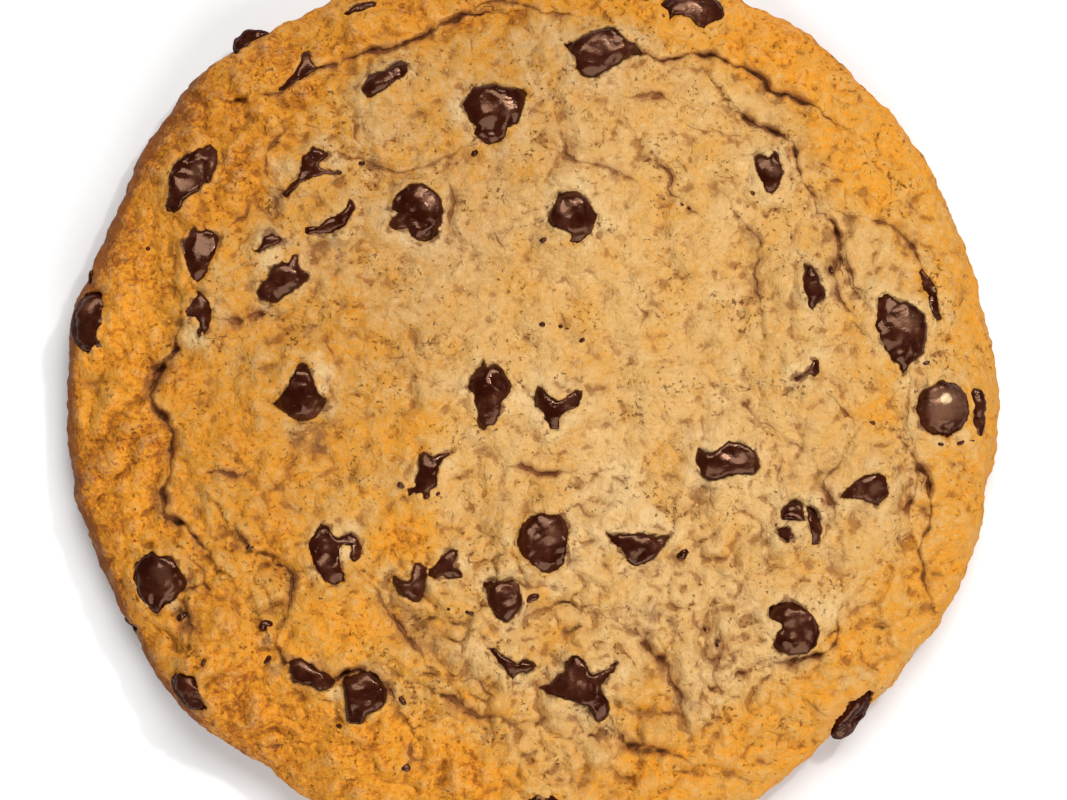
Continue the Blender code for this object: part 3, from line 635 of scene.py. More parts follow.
# Where the crust has parted deeply: depth, half width, step up on the line's left side, and the line.
creases = (
    (1.5, 0.25, 0.5, ((-31, 33.5), (-28.5, 33.7), (-27, 34.1), (-25, 35.8), (-21.5, 36.9), (-17, 38.5),
        (-13, 39.4), (-11, 40.6), (-9, 41.6), (-6, 42.3), (-3.5, 42.6))),
    (1.1, 0.3, 0.0, ((-6.5, 43.3), (-4, 44), (-1, 43.2), (3, 42.2), (5, 41.8))),
    (1.4, 0.22, 0.5, ((10.3, 39.5), (11.5, 38), (14, 37.4), (17, 38), (20, 37.8), (23.5, 36.5), (26, 34.5),
        (28, 33.8), (31, 32))),
    (1.6, 0.26, 0.6, ((21.5, 33), (23.5, 30.5), (26, 29.8), (28, 28.5), (28.5, 27), (29.3, 25),
        (30.3, 22.8), (31.3, 20.8), (32.7, 19.7), (33.3, 18.5), (33, 16), (34, 14.5))),
    (1.2, 0.3, 0.2, ((36, 20.4), (38.5, 19.8), (41, 18), (42.2, 14.5))),
    (2.0, 0.36, 0.5, ((-38.2, 8.5), (-38.8, 6), (-40, 4.7), (-41.5, 1.5), (-40.8, 0), (-39, -3),
        (-38.8, -5), (-39, -7), (-39.7, -8.5), (-40, -10), (-39.8, -11.5), (-37.5, -13), (-35, -16))),
    (1.6, 0.32, 0.4, ((41, -5.2), (43, -8), (43.4, -11), (42, -15.5), (42.5, -19), (43.3, -21))),
    (1.3, 0.32, 0.0, ((26, -28), (28, -28), (30, -27.3), (32, -26.5), (33.2, -25), (33.5, -23))),
    (1.2, 0.42, 0.3, ((11.5, -24), (12.5, -26.5), (14.5, -28.2), (14.7, -29.5), (16, -31.5),
        (16.5, -33.3))),
    (0.9, 0.28, 0.0, ((17, 30.3), (18.7, 29.5), (22.8, 29))),
    (0.9, 0.28, 0.0, ((10, 33.5), (13, 33.7), (15.5, 32.5))),
    (1.2, 0.45, 0.0, ((3, 30), (3.4, 28.6), (3.5, 27), (6, 26.2), (8, 25.8), (11, 24))),
    (1.2, 0.5, 0.2, ((-34, 9.2), (-31.5, 9.1), (-30, 9.8), (-27.4, 10.2))),
    (1, 0.28, 0.0, ((-35.7, -7.5), (-33.8, -7), (-31.6, -7.7), (-30, -7.3))),
    (1.1, 0.3, 0.0, ((-2.4, -6.6), (-0.5, -6.8), (0.6, -7.4), (3, -7.4), (4.6, -6.8))),
    (0.8, 0.24, 0.0, ((32, 1.3), (33.3, 0), (34.5, -1.3), (34.9, -3.2))),
    (0.8, 0.24, 0.0, ((41, 4), (40.7, 1), (40.9, -1.8))),
    (1.1, 0.3, 0.3, ((33.5, -5.5), (31.6, -8.3), (31.8, -10.5), (32.8, -12), (33.1, -14))),
    (0.8, 0.26, 0.0, ((26.9, -5.8), (26.7, -9.6))),
    (0.9, 0.26, 0.3, ((41.6, -5.8), (42, -7.6), (41.6, -9.6), (40.4, -11.4), (41, -13))),
    (0.8, 0.26, 0.3, ((27.6, -9.6), (28.2, -12), (26.6, -13.6))),
    (0.9, 0.28, 0.4, ((22.8, 20), (24.4, 17.6), (24.2, 14.4), (24.8, 11))),
    (0.8, 0.26, 0.3, ((33.6, 16.8), (32.4, 14.4), (33, 11.6), (34.6, 9.6))),
    (0.8, 0.24, 0.3, ((21.6, 1.4), (23.4, 0.2), (24.6, -1.8), (26.8, -3))),
    (0.8, 0.24, 0.3, ((12.6, 27.6), (14.4, 25.8), (14.8, 23.4), (16.4, 22))),
    (1.1, 0.36, 0.0, ((24.5, -15), (25.2, -16.6), (26, -17.8), (27.5, -17.7), (28.4, -17.2))),
    (1.8, 0.32, 0.5, ((-29.5, -16), (-27.8, -17.2), (-26, -18.5), (-26.3, -21), (-26.8, -22.8))),
    (1.7, 0.34, 0.4, ((-32.6, -13.2), (-31.6, -14.8), (-30.3, -15.4))),
    (1, 0.3, 0.0, ((-12, -28.8), (-9, -29.7), (-5.7, -30), (-5.2, -31.4), (-4, -31.9))),
    (1.3, 0.34, 0.3, ((8.6, -33.8), (9.4, -35.6), (10.2, -36.8), (12.5, -36.8), (14.5, -38), (17, -38.4))),
    (1, 0.28, 0.0, ((-13, -35.5), (-13.3, -37.5), (-12.8, -38.5), (-13.9, -39.4))),
    (0.9, 0.28, 0.0, ((24.5, -28.4), (22, -28.8), (21, -30))),
    (0.8, 0.26, 0.0, ((-30, -36.8), (-28, -37), (-26, -36.8))),
    (1.8, 0.34, 0.3, ((-36.5, -17), (-35.4, -18.3), (-35.5, -19.8), (-37, -19.9), (-38, -20.6))),
    (2.2, 0.5, 0.3, ((-38.4, -21.2), (-37.8, -22), (-37.3, -23.8), (-37.4, -25.5))),
    (0.7, 0.22, 0.0, ((11.2, 11.3), (12.2, 10), (11.6, 8.3))),
    (0.7, 0.24, 0.0, ((-2.2, 3.6), (-0.9, 2), (-0.3, 0.3))),
    (1.2, 0.3, 0.2, ((-28.6, 23.5), (-27.4, 23.1), (-26.6, 22.6))),
    (1, 0.3, 0.5, ((-9.8, -29.5), (-11.8, -26.8), (-14, -24.3), (-15.6, -22.8), (-16.7, -20.2),
        (-18, -18.9))),
    (2.0, 0.42, 0.6, ((-28, -25.8), (-27.4, -27), (-26.6, -28), (-24.4, -28.4), (-22.4, -29.8),
        (-20.6, -29.2), (-17.6, -29), (-15.8, -30.6), (-14.6, -32.6))),
    (0.9, 0.36, 0.3, ((7.4, -22.6), (9.2, -23.4), (11.2, -24), (12.2, -25))),
    (1.0, 0.36, 0.3, ((-12.6, -30), (-10.4, -31.4), (-7.6, -32.4), (-5.4, -33.8), (-3.4, -34))),
    (0.9, 0.3, 0.3, ((-19.4, 26.8), (-17, 26), (-14.6, 25), (-12.4, 25.4), (-10, 26.4), (-7.6, 27.6))),
    (0.5, 0.3, 0.3, ((20.4, -24), (20.8, -26.6), (19.6, -29), (20.6, -31.6))),
)

# Hairline cracks, as lines.
hairlines = (
    ((-27.5, 31.5), (-26.8, 29.5), (-28.8, 27.2), (-28.6, 25), (-27.8, 23.6)),
    ((-19.5, 31), (-19.1, 29), (-18.2, 27.5)), ((-24.5, 30.6), (-23.3, 30.4)),
    ((-33, 19.2), (-31, 20.5), (-30.2, 22.5)), ((6.2, 34), (7, 33.2)), ((7.7, 30), (7.8, 28.5)),
    ((0, 31.8), (2, 31.2)), ((16, 26.5), (17, 25)), ((-4.2, 18.8), (-3.6, 17.5), (-3, 16.5)),
    ((1.2, 18), (3.2, 18.3)), ((-6, 12.5), (-5.5, 13.3)), ((7.5, 15), (8.5, 14.3)),
    ((9.5, 13.2), (11, 12.9)), ((-15, 25), (-13, 25.2), (-11, 25.7), (-9.8, 25.3)),
    ((-9, 25), (-8.6, 22), (-9, 19)), ((-7, 39.3), (-6.8, 38.5)), ((32.5, 33.3), (34.8, 32.5)),
    ((33.5, 30), (35, 30.1)), ((36, 29), (36.8, 28.3)), ((30.5, 26.2), (32.5, 25.5)),
    ((31.5, 24.3), (34, 24.2)), ((34.2, 23.4), (34.2, 22.2)), ((36.3, 22.9), (37.3, 22.3)),
    ((40.8, 22.6), (42, 21.2)), ((39, 24.5), (38.8, 23.3)), ((45.1, 14.2), (46, 13.3)),
    ((33.5, 17), (34, 15), (35, 13), (36.5, 12)), ((-37, 0.6), (-35, 1.2)), ((-30, 0), (-29.5, -1.4)),
    ((-22.5, 7), (-21.6, 5.5), (-21.3, 4)), ((-28.5, -8), (-27.2, -9.5)), ((-28.9, -11.7), (-27.8, -11.2)),
    ((-42.4, -11.8), (-41.4, -11.6)), ((-43.3, -5.9), (-42.9, -6.4)), ((-21.3, -8), (-20, -8.3)),
    ((-19.5, -7.6), (-18, -7.9)), ((-18.5, -10), (-17, -10.5)), ((-25.3, -5), (-26.5, -7)),
    ((5.8, -7), (7.5, -7.8)), ((8.8, -7.7), (10.5, -9.1)), ((13.7, -7.6), (13.9, -9)),
    ((-11.5, 6.6), (-10, 6.5)), ((-16, 5), (-13, 5.6)), ((-5.1, -6.5), (-4.9, -8.6)),
    ((-9.2, -5.6), (-7.3, -6.8)), ((-8.8, -11.5), (-8.7, -13)), ((5.2, -22), (7.2, -21.7)),
    ((7.8, -25), (9, -24.8)), ((15.5, -24), (16.5, -25.5)), ((14, -32.8), (15, -33.2)),
    ((6.3, -35.9), (7.1, -35.7)), ((-13.5, -30.5), (-11.5, -31)), ((-11.3, -33.7), (-10, -34)),
    ((20.3, -33.8), (21.5, -33.3)), ((21.5, -35.5), (22.3, -36)), ((26, -35.7), (27.5, -35.8)),
    ((29.8, -32.3), (31.8, -33.8)), ((36.3, -23), (38.2, -23.5)), ((37, -24.2), (39.5, -24.3)),
    ((42, -19), (43, -20.5)), ((38.5, -16.8), (39.5, -16.6)), ((20, -24.5), (20.2, -26)),
    ((21.6, -21.8), (21.7, -22.7)), ((17.3, -37.5), (19.5, -36.8)), ((22, 1.8), (23.5, 1.5)),
    ((23.5, 0.7), (24.5, -0.5)), ((26.5, -4.5), (27.5, -4.7)), ((36, -1.7), (36.8, -2)),
    ((38.5, -2.6), (39.6, -2.9)), ((19, -9), (19.5, -11)), ((23.2, -13.8), (23.8, -12.7)),
    ((30.5, 6.4), (33, 6.4)), ((41.2, -8.3), (41.3, -10), (40.7, -11.6)), ((1.8, -20.9), (3.4, -20.6)),
    ((12.3, -20.2), (12.4, -21.4)),
)

# Domes and sunken places of the crust: x, y, radius, height.
swells = (
    (-14.5, -3.5, 5.5, 0.5), (-13.8, -13.6, 3.2, 0.5), (-22, -24, 5.5, 0.5), (-35, -4, 5, 0.4),
    (-25, 22.6, 2.6, 0.55), (-27.2, 26, 1.8, 0.35), (-28, 15.8, 1.6, 0.4), (-22.4, 3.4, 1.4, 0.45),
    (-8.9, -6.6, 1.4, 0.4), (12.6, -12.2, 1.6, 0.45), (3, 3.4, 1.6, 0.4), (-8.4, -20.8, 2, 0.45),
    (-7.2, -27, 2.4, 0.5), (8.5, -20.5, 3, 0.3), (28.8, -13, 4, 0.35), (28.5, -24.3, 4, 0.35),
    (36.5, -9, 4.5, 0.3), (7.3, -38.2, 1.2, 0.4), (-12.5, -24.3, 2.6, -0.5), (-24.2, -4.2, 2.4, -0.4),
    (14, -18, 3, -0.35), (18.4, -9.6, 1.6, -0.35), (-8.2, 22.5, 1.4, -0.3), (-23, 16.6, 1.2, -0.35),
    (13.5, -23, 1.6, -0.4), (-43.6, -21, 2, 0.7), (-43.8, -17.6, 1.6, 0.4), (-40, -23.6, 1.6, 0.4),
    (-34, -19, 3, 0.3), (24.4, 17.2, 2.2, -0.4), (24, 12, 2, -0.35), (27.6, 15.4, 2, 0.25),
    (33.4, 13.6, 1.6, -0.35), (36.6, 15.6, 3, 0.45), (34.5, 25, 3, 0.35), (32, -17.2, 1.8, -0.35),
    (5, -36, 3.5, -0.3), (-47.8, 2.5, 2, -0.5), (23.8, 14.5, 2, -0.25),
)

# Where the crumb stands up in separate lumps: x, y, radius, amount.
pebbleZones = (
    (4, -25, 15, 1.0), (20, -14, 11, 0.6), (21, -31, 9, 0.7), (-9, -21, 7, 0.7), (24, 24, 7, 0.3),
    (-24, 17, 9, 0.6), (4, 28, 9, 0.45), (-30, -19, 7, 0.5), (-28, 28, 8, 0.4), (-30, -31, 9, 0.4),
    (36, -9, 6, 0.4), (-24, -3, 5, 0.4), (-31, -7, 11, 0.35), (31, 11, 11, 0.3), (-19, 33, 10, 0.35),
    (-2, -42, 14, 0.4), (-38, -22, 8, 0.4), (-12, 8, 10, 0.2),
)

crackle = {
    "shallower": 0.75,      # of the depths in the table
    "thinner": 0.85,
    "wander": 0.5,          # how far a crease strays from its line
    "wanderSize": 2.2,
    "jitter": 0.16,
    "jitterSize": 0.7,
    "valley": 0.55,         # how much of the depth is a soft hollow beside the slit
    "valleyWidth": 1.8,
    "lip": 0.16,
    "taper": 2.2,           # how far from its ends a crease reaches its full depth
    "least": 0.28,          # least and most of its depth that a crack keeps from place to place
    "most": 1.35,
    "hairDepth": 0.5,
    "hairWidth": 0.2,
    "markFades": (2.8, 4.8),    # how many widths from a crack its painted shade fades
}

crumb = {
    "pebbleSize": 3.3,
    "pebbleHeight": 0.46,
    "pebbleGap": 0.55,
    "plateSize": 8.5,
    "plateHeight": 0.75,
    "plateGap": 0.3,
    "billowSize": 4.8,
    "billow": 2.0,
    "pits": 220,
    "pitsWithin": 49.0,     # how far out the pits lie, and the share of them crowded near the rim
    "pitsAtRim": 0.45,
    "pitRadius": (0.2, 0.36),
    "pitDepth": (0.14, 0.34),
    "lumpSize": 2.4,
    "lump": 0.42,
    "grainSize": 0.95,
    "grain": 0.15,
    "underPits": 420,
    "underWithin": 47.0,
    "underAtRim": 0.2,
    "underRadius": (0.35, 1.5),
    "underDepth": (0.08, 0.4),
}

lap = {
    "thickness": 0.1,       # of the dough where it laps over a morsel
    "unevenness": 0.16,
    "climb": 0.7,           # how far at most the dough climbs a morsel
    "spread": 1.7,          # how far from the opening it begins to climb
    "under": 0.4,           # how far below the morsel's skin the dough lies in an opening
    "deepest": 1.7,
    "edge": 0.2,
    "ragged": 0.26,
    "raggedSize": 1.1,
    "collar": 0.12,         # height of the swelling round an opening
}


def edgeRadius(angle):
    radius = dough["edgeRadius"] + dough["oval"] * np.cos(2.0 * angle)
    for centre, height, halfWidth in dough["edgeLobes"]:
        turn = (np.degrees(angle) - centre + 180.0) % 360.0 - 180.0
        radius = radius + height * bump(turn / halfWidth)
    for waves, height, start in dough["edgeWaver"]:
        radius = radius + height * np.sin(waves * angle + start)
    return radius


def shoulderHeight(share):
    fall = np.sqrt(np.clip(1.0 - share ** dough["shoulderPower"], 0.0, 1.0))
    return dough["widestHeight"] + (dough["topHeight"] - dough["widestHeight"]) * fall


def plainNoise(x, y, size, height):
    return np.array([noise.noise(spot) for spot in flatPlaces(x / size, y / size, height).tolist()])


def baseRelief(x, y):
    # The broad relief that the solids have too.
    height = dough["swellHeight"] * plainNoise(x, y, dough["swellSize"], dough["bakeSeed"])
    height += dough["lumpHeight"] * plainNoise(x, y, dough["lumpSize"], dough["bakeSeed"] + 9.0)
    for chip in chips:
        reach = 2.0 * dough["moundSpread"] * math.sqrt(chip["halfLength"] * chip["halfWidth"])
        height += dough["moundHeight"] * bump(radiiFrom(x, y, chip["x"], chip["y"], reach))
    return domed(height, x, y, swells)


def broadTop(x, y):
    # Height of the dough's broad top over each place.
    share = np.minimum(np.hypot(x, y) / edgeRadius(np.arctan2(y, x)), 1.0)
    plain = shoulderHeight(share)
    return plain + baseRelief(x, y) * smoothStep(dough["reliefFrom"], dough["reliefFull"], plain)


def strayed(x, y):
    places = flatPlaces(x, y, 0.0)
    moved = []
    for layer, axis in ((1.0, x), (2.0, y)):
        wander = crackle["wander"] * grain(places, crackle["wanderSize"], 2, layer)
        jitter = crackle["jitter"] * grain(places, crackle["jitterSize"], 2, layer + 0.5)
        moved.append(axis + wander + jitter)
    return moved


def near(x, y, line, margin):
    spots = np.array(line)
    low, high = spots.min(axis=0) - margin, spots.max(axis=0) + margin
    return (x > low[0]) & (x < high[0]) & (y > low[1]) & (y < high[1])


def endFade(x, y, line):
    ends = np.minimum(np.hypot(x - line[0][0], y - line[0][1]), np.hypot(x - line[-1][0], y - line[-1][1]))
    return 0.3 + 0.7 * smoothStep(0.0, crackle["taper"], ends)


def unevenAlong(x, y):
    # How much of its depth a crack keeps from place to place.
    places = flatPlaces(x, y, 0.0)
    kept = 0.8 + 0.9 * grain(places, 4.5, 2, 3.0) + 0.7 * grain(places, 1.3, 2, 4.0)
    return np.clip(kept, crackle["least"], crackle["most"])


def crackLines():
    for depth, halfWidth, step, line in creases:
        yield crackle["shallower"] * depth, crackle["thinner"] * halfWidth, step, line
    for line in hairlines:
        yield crackle["hairDepth"], crackle["hairWidth"], 0.0, line


def creaseRelief(x, y):
    strayX, strayY = strayed(x, y)
    uneven = unevenAlong(x, y)
    height = np.zeros_like(x)
    for depth, halfWidth, step, line in crackLines():
        close = near(x, y, line, 9.0 if step else 4.0)
        away, side = lineDistance(strayX[close], strayY[close], line)
        fade = endFade(x[close], y[close], line)
        width = np.maximum(0.12, halfWidth * uneven[close] * fade)
        deep = depth * uneven[close] * fade
        slit = np.exp(-((away / width) ** 2))
        valley = crackle["valley"] * bump(away / crackle["valleyWidth"])
        rim = crackle["lip"] * bump((away - 3.0 * width) / (1.5 * width))
        rise = step * side * bump(away / 4.0) * (1.0 - bump(away / 0.5))
        height[close] += deep * (rim - slit * (1.0 - crackle["valley"]) - valley) + rise
    return height


def crackMarks(x, y):
    # How far left or right of the nearest crack each place lies, in crack widths, and how strong
    # the crack's painted shade is.
    strayX, strayY = strayed(x, y)
    uneven = unevenAlong(x, y)
    sideways = np.full_like(x, 9.0)
    strength = np.zeros_like(x)
    for depth, halfWidth, _, line in crackLines():
        close = np.nonzero(near(x, y, line, 2.0))[0]
        away, side = lineDistance(strayX[close], strayY[close], line)
        fade = endFade(x[close], y[close], line)
        wide = away / (1.1 * halfWidth * np.maximum(uneven[close] * fade, 0.35))
        nearer = wide < np.abs(sideways[close])
        chosen = close[nearer]
        sideways[chosen] = (side * wide)[nearer]
        dark = np.clip((0.25 + 0.55 * depth) * uneven[chosen], 0.0, 1.0)
        strength[chosen] = dark * fade[nearer] * (1.0 - smoothStep(*crackle["markFades"], wide[nearer]))
    return sideways, strength


def nearestSeeds(x, y, seeds, count):
    # The nearest seeds' numbers and distances for each place.
    tree = KDTree(len(seeds))
    for index, (px, py) in enumerate(seeds):
        tree.insert((px, py, 0.0), index)
    tree.balance()
    numbers = np.empty((len(x), count), dtype=int)
    aways = np.empty((len(x), count))
    for row, spot in enumerate(flatPlaces(x, y, 0.0).tolist()):
        found = tree.find_n(spot, count)
        numbers[row] = [index for _, index, _ in found]
        aways[row] = [away for _, _, away in found]
    return numbers, aways


def scatteredSeeds(count, outer, seed, outerShare):
    # Seeds over the cookie, with a share of them crowded towards its rim.
    dice = random.Random(seed)
    seeds = []
    for index in range(count):
        inner = 0.8 * outer if index < outerShare * count else 0.0
        radius = math.sqrt(dice.uniform(inner**2, outer**2))
        angle = dice.uniform(0.0, 2.0 * math.pi)
        seeds.append((radius * math.cos(angle), radius * math.sin(angle)))
    return seeds


def pittedBy(x, y, seeds, radii, depths, seed):
    dice = np.random.default_rng(seed)
    radius = dice.uniform(*radii, len(seeds))
    depth = dice.uniform(*depths, len(seeds))
    numbers, aways = nearestSeeds(x, y, seeds, 1)
    numbers, aways = numbers[:, 0], aways[:, 0]
    return depth[numbers] * bump((aways / radius[numbers]) ** 1.5)


def brokenCells(x, y, size, warp, warpSize, seed):
    # Splits the crust into uneven lumps: each place's own height, its neighbour's, and how far off
    # their border is.
    places = flatPlaces(x, y, 9.0)
    warpX = x + warp * grain(places, warpSize, 3, seed + 0.3)
    warpY = y + warp * grain(places, warpSize, 3, seed + 0.7)
    dice = random.Random(seed)
    reach = int(54.0 / size) + 1
    steps = range(-reach, reach + 1)
    seeds = [((i + dice.uniform(-0.5, 0.5)) * size, (j + dice.uniform(-0.5, 0.5)) * size)
             for i in steps for j in steps]
    heights = np.random.default_rng(seed).uniform(-1.0, 1.0, len(seeds))
    numbers, aways = nearestSeeds(warpX, warpY, seeds, 2)
    return heights[numbers[:, 0]], heights[numbers[:, 1]], aways[:, 1] - aways[:, 0]


def crumbliness(x, y):
    return np.minimum(domed(np.zeros_like(x), x, y, pebbleZones), 1.2)


def crumbRelief(x, y):
    # Plates, pebbles and swollen lumps of the crust.
    places = flatPlaces(x, y, 9.0)
    crumbly = crumbliness(x, y)
    rim = smoothStep(38.0, 43.0, np.hypot(x, y))
    patchy = np.clip(0.6 + 1.1 * grain(places, 3.0, 2, 33.0), 0.0, 1.3)
    own, other, border = brokenCells(x, y, crumb["plateSize"], 1.9, 4.5, 15)
    share = 0.5 + 0.5 * smoothStep(0.0, 1.1, border)
    plates = crumb["plateHeight"] * (own * share + other * (1.0 - share))
    plates -= crumb["plateGap"] * bump(border / 0.4) * patchy
    height = (0.45 + 0.55 * np.minimum(crumbly + 0.6 * rim, 1.0)) * plates
    own, _, border = brokenCells(x, y, crumb["pebbleSize"], 1.1, 2.8, 5)
    gap = bump(border / 0.5) * patchy
    pebbles = crumb["pebbleHeight"] * own * (1.0 - gap) - crumb["pebbleGap"] * gap
    height += np.minimum(0.08 + crumbly, 1.2) * (1.0 - 0.8 * rim) * pebbles
    billow = crumb["billow"] * (np.abs(grain(places, crumb["billowSize"], 3, 61.0)) - 0.2)
    return height + (0.42 + 0.55 * np.minimum(crumbly + 0.5 * rim, 1.0)) * billow


def fineRelief(places):
    # Lumps and grain of the crust, felt along its normal.
    rim = smoothStep(39.0, 44.0, np.hypot(places[:, 0], places[:, 1]))
    lumps = crumb["lump"] * grain(places, crumb["lumpSize"], 3, 6.0)
    return (1.0 - 0.3 * rim) * lumps + crumb["grain"] * grain(places, crumb["grainSize"], 2, 7.0)


def openingDistance(x, y, margin):
    # How far inside the nearest opening each place lies, with ragged edges; negative outside.
    places = flatPlaces(x, y, 3.0)
    ragged = lap["ragged"] * grain(places, lap["raggedSize"], 3, 41.0)
    inside = np.full_like(x, -far)
    for chip in chips:
        for loop in chip["loops"]:
            close = near(x, y, loop, margin)
            inside[close] = np.maximum(inside[close], insideDistance(x[close], y[close], loop))
    return inside + ragged


def lapOverChips(places, chipHeights):
    # Dough is heaped over each morsel outside its opening and lies under its skin inside.
    x, y, z = places[:, 0], places[:, 1], places[:, 2]
    inside = openingDistance(x, y, 5.0)
    close = np.nonzero((inside > -3.0) & (z > 2.0))[0]
    skin = chipHeights(x[close], y[close])
    z, inside = z[close], inside[close]
    spots = flatPlaces(x[close], y[close], 5.0)
    z = z + lap["collar"] * (1.0 + 1.5 * grain(spots, 2.0, 2, 43.0)) * bump((-inside - 0.8) / 0.7)
    uneven = grain(spots, 1.3, 2, 42.0)
    climb = np.clip(skin - z, 0.0, lap["climb"]) * smoothStep(lap["spread"], 0.2, uneven * 0.5 - inside)
    outer = z + climb + lap["thickness"] + lap["unevenness"] * uneven
    inner = np.where(skin > z - lap["deepest"], np.minimum(z, skin - lap["under"]), z)
    share = smoothStep(-lap["edge"], lap["edge"], inside)
    lapped = outer + (inner - outer) * share
    places[close, 2] += (lapped - places[close, 2]) * smoothStep(-3.0, -2.0, inside)
    return places


def fineBody():
    # The dough's plain body, turned from its outline and given small even faces.
    bm = bmesh.new()
    outline = []
    for ring in range(dough["topRings"] + 1):
        share = math.sin(0.5 * math.pi * ring / dough["topRings"])
        outline.append((dough["edgeRadius"] * share, float(shoulderHeight(share))))
    for ring in range(1, dough["sideRings"] + 1):
        angle = 0.5 * math.pi * ring / dough["sideRings"]
        radius = dough["baseRadius"] + (dough["edgeRadius"] - dough["baseRadius"]) * math.cos(angle)
        outline.append((radius, dough["widestHeight"] * (1.0 - math.sin(angle))))
    outline.append((0.0, 0.0))
    corners = [bm.verts.new((radius * mm, 0.0, height * mm)) for radius, height in outline]
    for first, second in zip(corners, corners[1:]):
        bm.edges.new((first, second))
    bmesh.ops.spin(bm, geom=bm.verts[:] + bm.edges[:], cent=(0, 0, 0), axis=(0, 0, 1),
                   angle=2.0 * math.pi, steps=dough["turnSteps"], use_merge=True)
    bmesh.ops.remove_doubles(bm, verts=bm.verts, dist=0.01 * mm)
    bmesh.ops.recalc_face_normals(bm, faces=bm.faces)
    return evenFaces("doughBody", finishedMesh("doughBody", bm), dough)


def buildDough(material, chipHeights):
    mesh = fineBody()
    places = cornerPlaces(mesh) / mm
    normals = cornerNormals(mesh)
    print("dough body:", len(places), "corners")
    places[:, :2] *= (edgeRadius(np.arctan2(places[:, 1], places[:, 0])) / dough["edgeRadius"])[:, None]
    fade = smoothStep(dough["reliefFrom"], dough["reliefFull"], places[:, 2])
    above = places[:, 2] > 0.35
    top = fade > 0.0
    x, y = places[top, 0], places[top, 1]
    relief = baseRelief(x, y) + creaseRelief(x, y) + crumbRelief(x, y)
    pits = scatteredSeeds(crumb["pits"], crumb["pitsWithin"], 11, crumb["pitsAtRim"])
    relief -= pittedBy(x, y, pits, crumb["pitRadius"], crumb["pitDepth"], 12)
    lift = np.zeros(len(places))
    lift[top] = relief * fade[top]
    places[above] += normals[above] * fineRelief(places[above])[:, None]
    places[:, 2] += lift
    places = lapOverChips(places, chipHeights)
    under = ~above
    x, y = places[under, 0], places[under, 1]
    pits = scatteredSeeds(crumb["underPits"], crumb["underWithin"], 13, crumb["underAtRim"])
    places[under, 2] = pittedBy(x, y, pits, crumb["underRadius"], crumb["underDepth"], 14)
    places[under, 2] *= smoothStep(47.4, 46.6, np.hypot(x, y))
    moveCorners(mesh, places * mm)
    helper = helperObject("doughFine", mesh)
    thin = helper.modifiers.new("Fewer faces", "DECIMATE")
    thin.ratio = min(1.0, dough["mostFaces"] / (2.0 * len(mesh.polygons)))
    mesh = evaluatedMesh(helper)
    mesh.name = "baked_dough"
    print("dough:", len(mesh.polygons), "faces")
    paintDough(mesh)
    return newPiece("baked_dough", mesh, material, "dough", "dough")


def smoothedOverMesh(mesh, values, rounds):
    # Each corner's value averaged with its neighbours, again and again.
    ends = np.empty(len(mesh.edges) * 2, dtype=np.int64)
    mesh.edges.foreach_get("vertices", ends)
    first, second = ends[0::2], ends[1::2]
    count = np.bincount(ends, minlength=len(values)).astype(float)
    for _ in range(rounds):
        total = np.bincount(first, weights=values[second], minlength=len(values))
        total += np.bincount(second, weights=values[first], minlength=len(values))
        values = 0.5 * values + 0.5 * total / np.maximum(count, 1.0)
    return values


# Where the crust baked darker or stayed pale: x, y, radius, amount.
bakePatches = (
    (-14.5, -3, 3.6, 0.24), (-13.5, -14.5, 3, 0.38), (-28.5, -14, 3, 0.3), (38, -0.5, 2.2, 0.25),
    (34, -26, 2, 0.2), (-38.5, 3, 2.5, 0.2), (-30, 38, 4, 0.08), (-22, -24, 5, 0.12), (-33, -33, 4, 0.12),
    (16, -40, 6, 0.06), (-45, -8, 6, 0.06), (-47, 16, 5, 0.12), (25, 37, 3, 0.12), (-3, 45, 12, 0.16),
    (-13, 31, 9, 0.12), (-33, -3, 10, 0.16), (-36, 22, 9, 0.08), (-47, -20, 7, 0.03), (14, 42, 6, 0.08),
    (-26, -38, 8, 0.06), (8, -44, 10, 0.04), (5, -42, 4, -0.08), (8, -11, 4, -0.1), (22, -28, 4, -0.12),
    (30, -36, 8, 0.1), (42, -20, 8, 0.05), (4, -36.5, 4, -0.1), (11, -31.5, 3.5, 0.08),
    (13, -35.5, 3.5, 0.12), (-8, -36, 5, 0.08), (2, -31, 9, 0.05), (26, -24, 6, -0.05),
    (9.5, -8.5, 3, -0.2), (-7, -27, 2.2, -0.2), (28, -11, 3, -0.12), (25.5, 26, 2.5, -0.15),
    (-8.5, -11.5, 2.5, -0.15), (24, 3, 7, -0.06), (10, -20, 5, -0.08),
)

